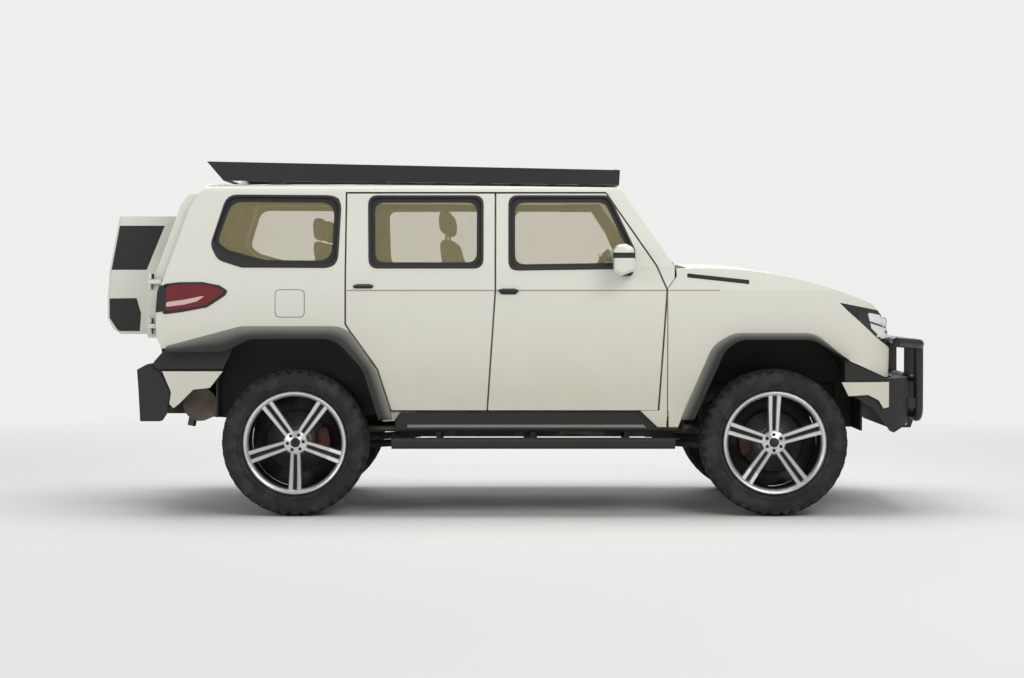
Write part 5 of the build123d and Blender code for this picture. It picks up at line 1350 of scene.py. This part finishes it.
dash_skin = skin_of("dashboard")
screen_glass = Finish("display_glass", base_color=(0.012, 0.013, 0.016), coat_weight=1.0)
screen_glass.set(roughness=0.08 + screen_glass.noise(30.0) * 0.04)
for name, y, z, width, height, finish in (
    ("display", 0.0, 1.255, 0.26, 0.150, screen_glass),
    ("cluster", 0.37, 1.275, 0.30, 0.110, screen_glass),
    ("vent_middle", 0.0, 1.180, 0.24, 0.044, coated),
    ("vent_right", -0.62, 1.235, 0.14, 0.060, coated),
    ("vent_left", 0.66, 1.235, 0.12, 0.060, coated),
    ("glovebox", -0.42, 1.165, 0.32, 0.096, trim),
):
    made = laid(f"dash_{name}", dash_skin, corners_of(y, z, width, height), AHEAD_WAY, 0.005, 0.012)
    piece(f"dash_{name}", made, finish, "chassis")

# Seats: each cushion, back and headrest is padded and covered in cloth. A closed shape with raised bolsters is
# remeshed and blown up as cloth under pressure, so that it bulges between its edges; piping follows the seams
# between its panels.
cloth = mottled("seat_cloth", ((0.028, 0.027, 0.026), (0.075, 0.070, 0.064)), (500.0, 2.0), (0.85, 0.1, 50.0),
                (900.0, 2.0, 0.0006, 0.5), sheen_weight=0.3)
dress(cloth, "seats")
VOXEL, PRESSURE, MOST_MOVE, SIM_FRAMES = 0.008, 4.0, 0.010, 20


def extruded(name, outline, low_y, high_y, edge):
    """A closed slab between two planes across the vehicle with its edges rounded."""
    mesh = bmesh.new()
    face = mesh.faces.new([mesh.verts.new((x, low_y, z)) for x, z in outline])
    grown = bmesh.ops.extrude_face_region(mesh, geom=[face])
    far = [item for item in grown["geom"] if isinstance(item, bmesh.types.BMVert)]
    bmesh.ops.translate(mesh, vec=(0, high_y - low_y, 0), verts=far)
    bmesh.ops.recalc_face_normals(mesh, faces=mesh.faces)
    bmesh.ops.bevel(mesh, geom=mesh.edges[:], offset=edge, segments=3, affect="EDGES", profile=0.5)
    return plain(name, mesh)


def bolsters(outline, inner, outer, edge):
    """The two raised bolsters of a front seat's panel, from the same outline on both sides."""
    return [extruded("bolster", outline, *sorted((side * inner, side * outer)), edge) for side in (-1, 1)]


def places(outline, edge):
    """The bench's three places side by side."""
    return [extruded("place", outline, middle - PLACE_HALF, middle + PLACE_HALF, edge) for middle in PLACE_YS]


def plain_mesh(thing):
    """The mesh of an object with its modifiers applied."""
    made = bpy.data.meshes.new_from_object(thing.evaluated_get(bpy.context.evaluated_depsgraph_get()))
    thing.modifiers.clear()
    return made


def stuffed(name, mesh):
    """The mesh remeshed, blown up as cloth and smoothed."""
    thing = bpy.data.objects.new(name, mesh)
    bpy.context.collection.objects.link(thing)
    remesh = thing.modifiers.new("remesh", "REMESH")
    remesh.mode, remesh.voxel_size = "VOXEL", VOXEL
    thing.data = plain_mesh(thing)
    start = [vertex.co.copy() for vertex in thing.data.vertices]
    blown = thing.modifiers.new("cloth", "CLOTH")
    blown.settings.quality = 4
    blown.settings.mass = 0.2
    blown.settings.tension_stiffness = blown.settings.compression_stiffness = 12
    blown.settings.bending_stiffness = 0.6
    blown.settings.use_pressure = True
    blown.settings.uniform_pressure_force = PRESSURE
    blown.settings.effector_weights.gravity = 0
    blown.point_cache.frame_start, blown.point_cache.frame_end = 1, SIM_FRAMES
    for frame_number in range(1, SIM_FRAMES + 1):
        bpy.context.scene.frame_set(frame_number)
    after = plain_mesh(thing)
    for vertex, before in zip(after.vertices, start):
        move = vertex.co - before
        vertex.co = before + move * min(1.0, MOST_MOVE / max(move.length, 1e-6))
    thing.data = after
    bpy.context.scene.frame_set(1)
    smoother = thing.modifiers.new("smooth", "SMOOTH")
    smoother.factor, smoother.iterations = 0.5, 4
    level = thing.modifiers.new("subdivision", "SUBSURF")
    level.levels = level.render_levels = 1
    made = plain_mesh(thing)
    made.name = name
    bpy.data.objects.remove(thing)
    made.materials.clear()
    made.materials.append(cloth.material)
    made.shade_smooth()
    return made


def seam(mesh, starts, way):
    """Piping along a padded mesh, through the points where rays from the starts meet it."""
    skin = BVHTree.FromPolygons([v.co for v in mesh.vertices], [list(p.vertices) for p in mesh.polygons])
    runs = []
    for run in starts:
        hits = [skin.ray_cast(Vector(point) - Vector(way) * 2, Vector(way))[0] for point in run]
        runs.append([hit for hit in hits if hit is not None])
    return tube("seam", [run for run in runs if len(run) > 2], 0.0028, trim, sides=8)


def padded_piece(name, mesh, y=0.0):
    """A padded mesh as a piece of the seats, that far from the middle plane."""
    if y:
        mesh = mesh.copy()
        mesh.transform(Matrix.Translation((0, y, 0)))
    made = piece(name, mesh, None, "chassis")
    return made


SEAT_Y, BENCH_HEADREST_Y = 0.370, 0.330
CUSHION = [(0.255, 0.842), (0.268, 0.945), (0.240, 0.968), (-0.225, 0.948), (-0.248, 0.842)]
CUSHION_BOLSTER = [(x, z + 0.018 if z > 0.9 else z) for x, z in CUSHION]
BACK = [(-0.236, 0.885), (-0.206, 0.945), (-0.336, 1.588), (-0.400, 1.600), (-0.420, 1.585), (-0.320, 0.885)]
BACK_BOLSTER = [
    (-0.236, 0.885), (-0.188, 0.945), (-0.318, 1.520), (-0.395, 1.560), (-0.415, 1.550), (-0.320, 0.885),
]
HEADREST = [(-0.345, 1.622), (-0.362, 1.760), (-0.428, 1.765), (-0.424, 1.622)]
BENCH = [(-0.475, 0.850), (-0.475, 0.945), (-0.500, 0.968), (-0.975, 0.950), (-0.975, 0.850)]
BENCH_BACK = [(-0.965, 0.890), (-0.940, 0.955), (-1.098, 1.580), (-1.165, 1.585), (-1.062, 0.890)]
BENCH_HEADREST = [(-1.098, 1.585), (-1.114, 1.716), (-1.178, 1.718), (-1.172, 1.585)]
PLACE_YS, PLACE_HALF = (-0.388, 0.0, 0.388), 0.202
PANEL_HALF = 0.20
front_cushion = stuffed("front_cushion", joined(
    "front_cushion", extruded("pan", CUSHION, -PANEL_HALF, PANEL_HALF, 0.022),
    *bolsters(CUSHION_BOLSTER, 0.165, 0.252, 0.030)))
front_back = stuffed("front_back", joined(
    "front_back", extruded("panel", BACK, -PANEL_HALF, PANEL_HALF, 0.020),
    *bolsters(BACK_BOLSTER, 0.165, 0.250, 0.028)))
front_headrest = stuffed("front_headrest", extruded("headrest", HEADREST, -0.127, 0.127, 0.028))
bench_cushion = stuffed("bench_cushion", joined("bench", *places(BENCH, 0.024)))
bench_back = stuffed("bench_back", joined("bench_back", *places(BENCH_BACK, 0.022)))
bench_headrest = stuffed("bench_headrest", extruded("headrest", BENCH_HEADREST, -0.117, 0.117, 0.026))

# Piping: where the rays that look for each seam start, one run on each side of the middle panel
SEAM_Y, BENCH_SEAM_Y = 0.168, 0.194
CUSHION_RUNS = [[(x / 100, y, 0.9) for x in range(-22, 25, 2)] for y in (-SEAM_Y, SEAM_Y)]
BACK_RUNS = [[(-0.3, y, z / 100) for z in range(94, 158, 3)] for y in (-SEAM_Y, SEAM_Y)]
BENCH_RUNS = [[(x / 100, y, 0.9) for x in range(-96, -48, 3)] for y in (-BENCH_SEAM_Y, BENCH_SEAM_Y)]
BENCH_BACK_RUNS = [[(-1.0, y, z / 100) for z in range(97, 157, 3)] for y in (-BENCH_SEAM_Y, BENCH_SEAM_Y)]
front_seams = joined("seams", seam(front_cushion, CUSHION_RUNS, DOWN_WAY), seam(front_back, BACK_RUNS, BACK_WAY))
bench_seams = joined(
    "seams", seam(bench_cushion, BENCH_RUNS, DOWN_WAY), seam(bench_back, BENCH_BACK_RUNS, BACK_WAY))
for hand, side in zip(SIDES, (-1, 1)):
    middle = side * SEAT_Y
    first = padded_piece(f"cushion_{hand}", front_cushion, middle)
    padded_piece(f"backrest_{hand}", front_back, middle)
    padded_piece(f"headrest_{hand}", front_headrest, middle)
    piping = front_seams.copy()
    piping.transform(Matrix.Translation((0, middle, 0)))
    piece(f"seat_seams_{hand}", piping, trim, "chassis")
    post_runs = [[Vector((-0.390, middle + y, z)) for z in (1.560, 1.680)] for y in (-0.06, 0.06)]
    piece(f"headrest_posts_{hand}", tube("posts", post_runs, 0.006, steel), steel, "chassis")
    base = slab_mesh("base", (-0.200, middle - 0.120, 0.582), (0.220, middle + 0.120, 0.850), 0.010)
    piece(f"seat_base_{hand}", base, trim, "chassis")
    padded_piece(f"bench_headrest_{hand}", bench_headrest, side * BENCH_HEADREST_Y)
    if side < 0:
        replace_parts(first, "seats")
padded_piece("bench_cushion", bench_cushion)
padded_piece("bench_back", bench_back)
piece("bench_seams", bench_seams, trim, "chassis")
bench_base = slab_mesh("base", (-0.940, -0.560, 0.802), (-0.500, 0.560, 0.860), 0.008)
piece("bench_base", bench_base, trim, "chassis")
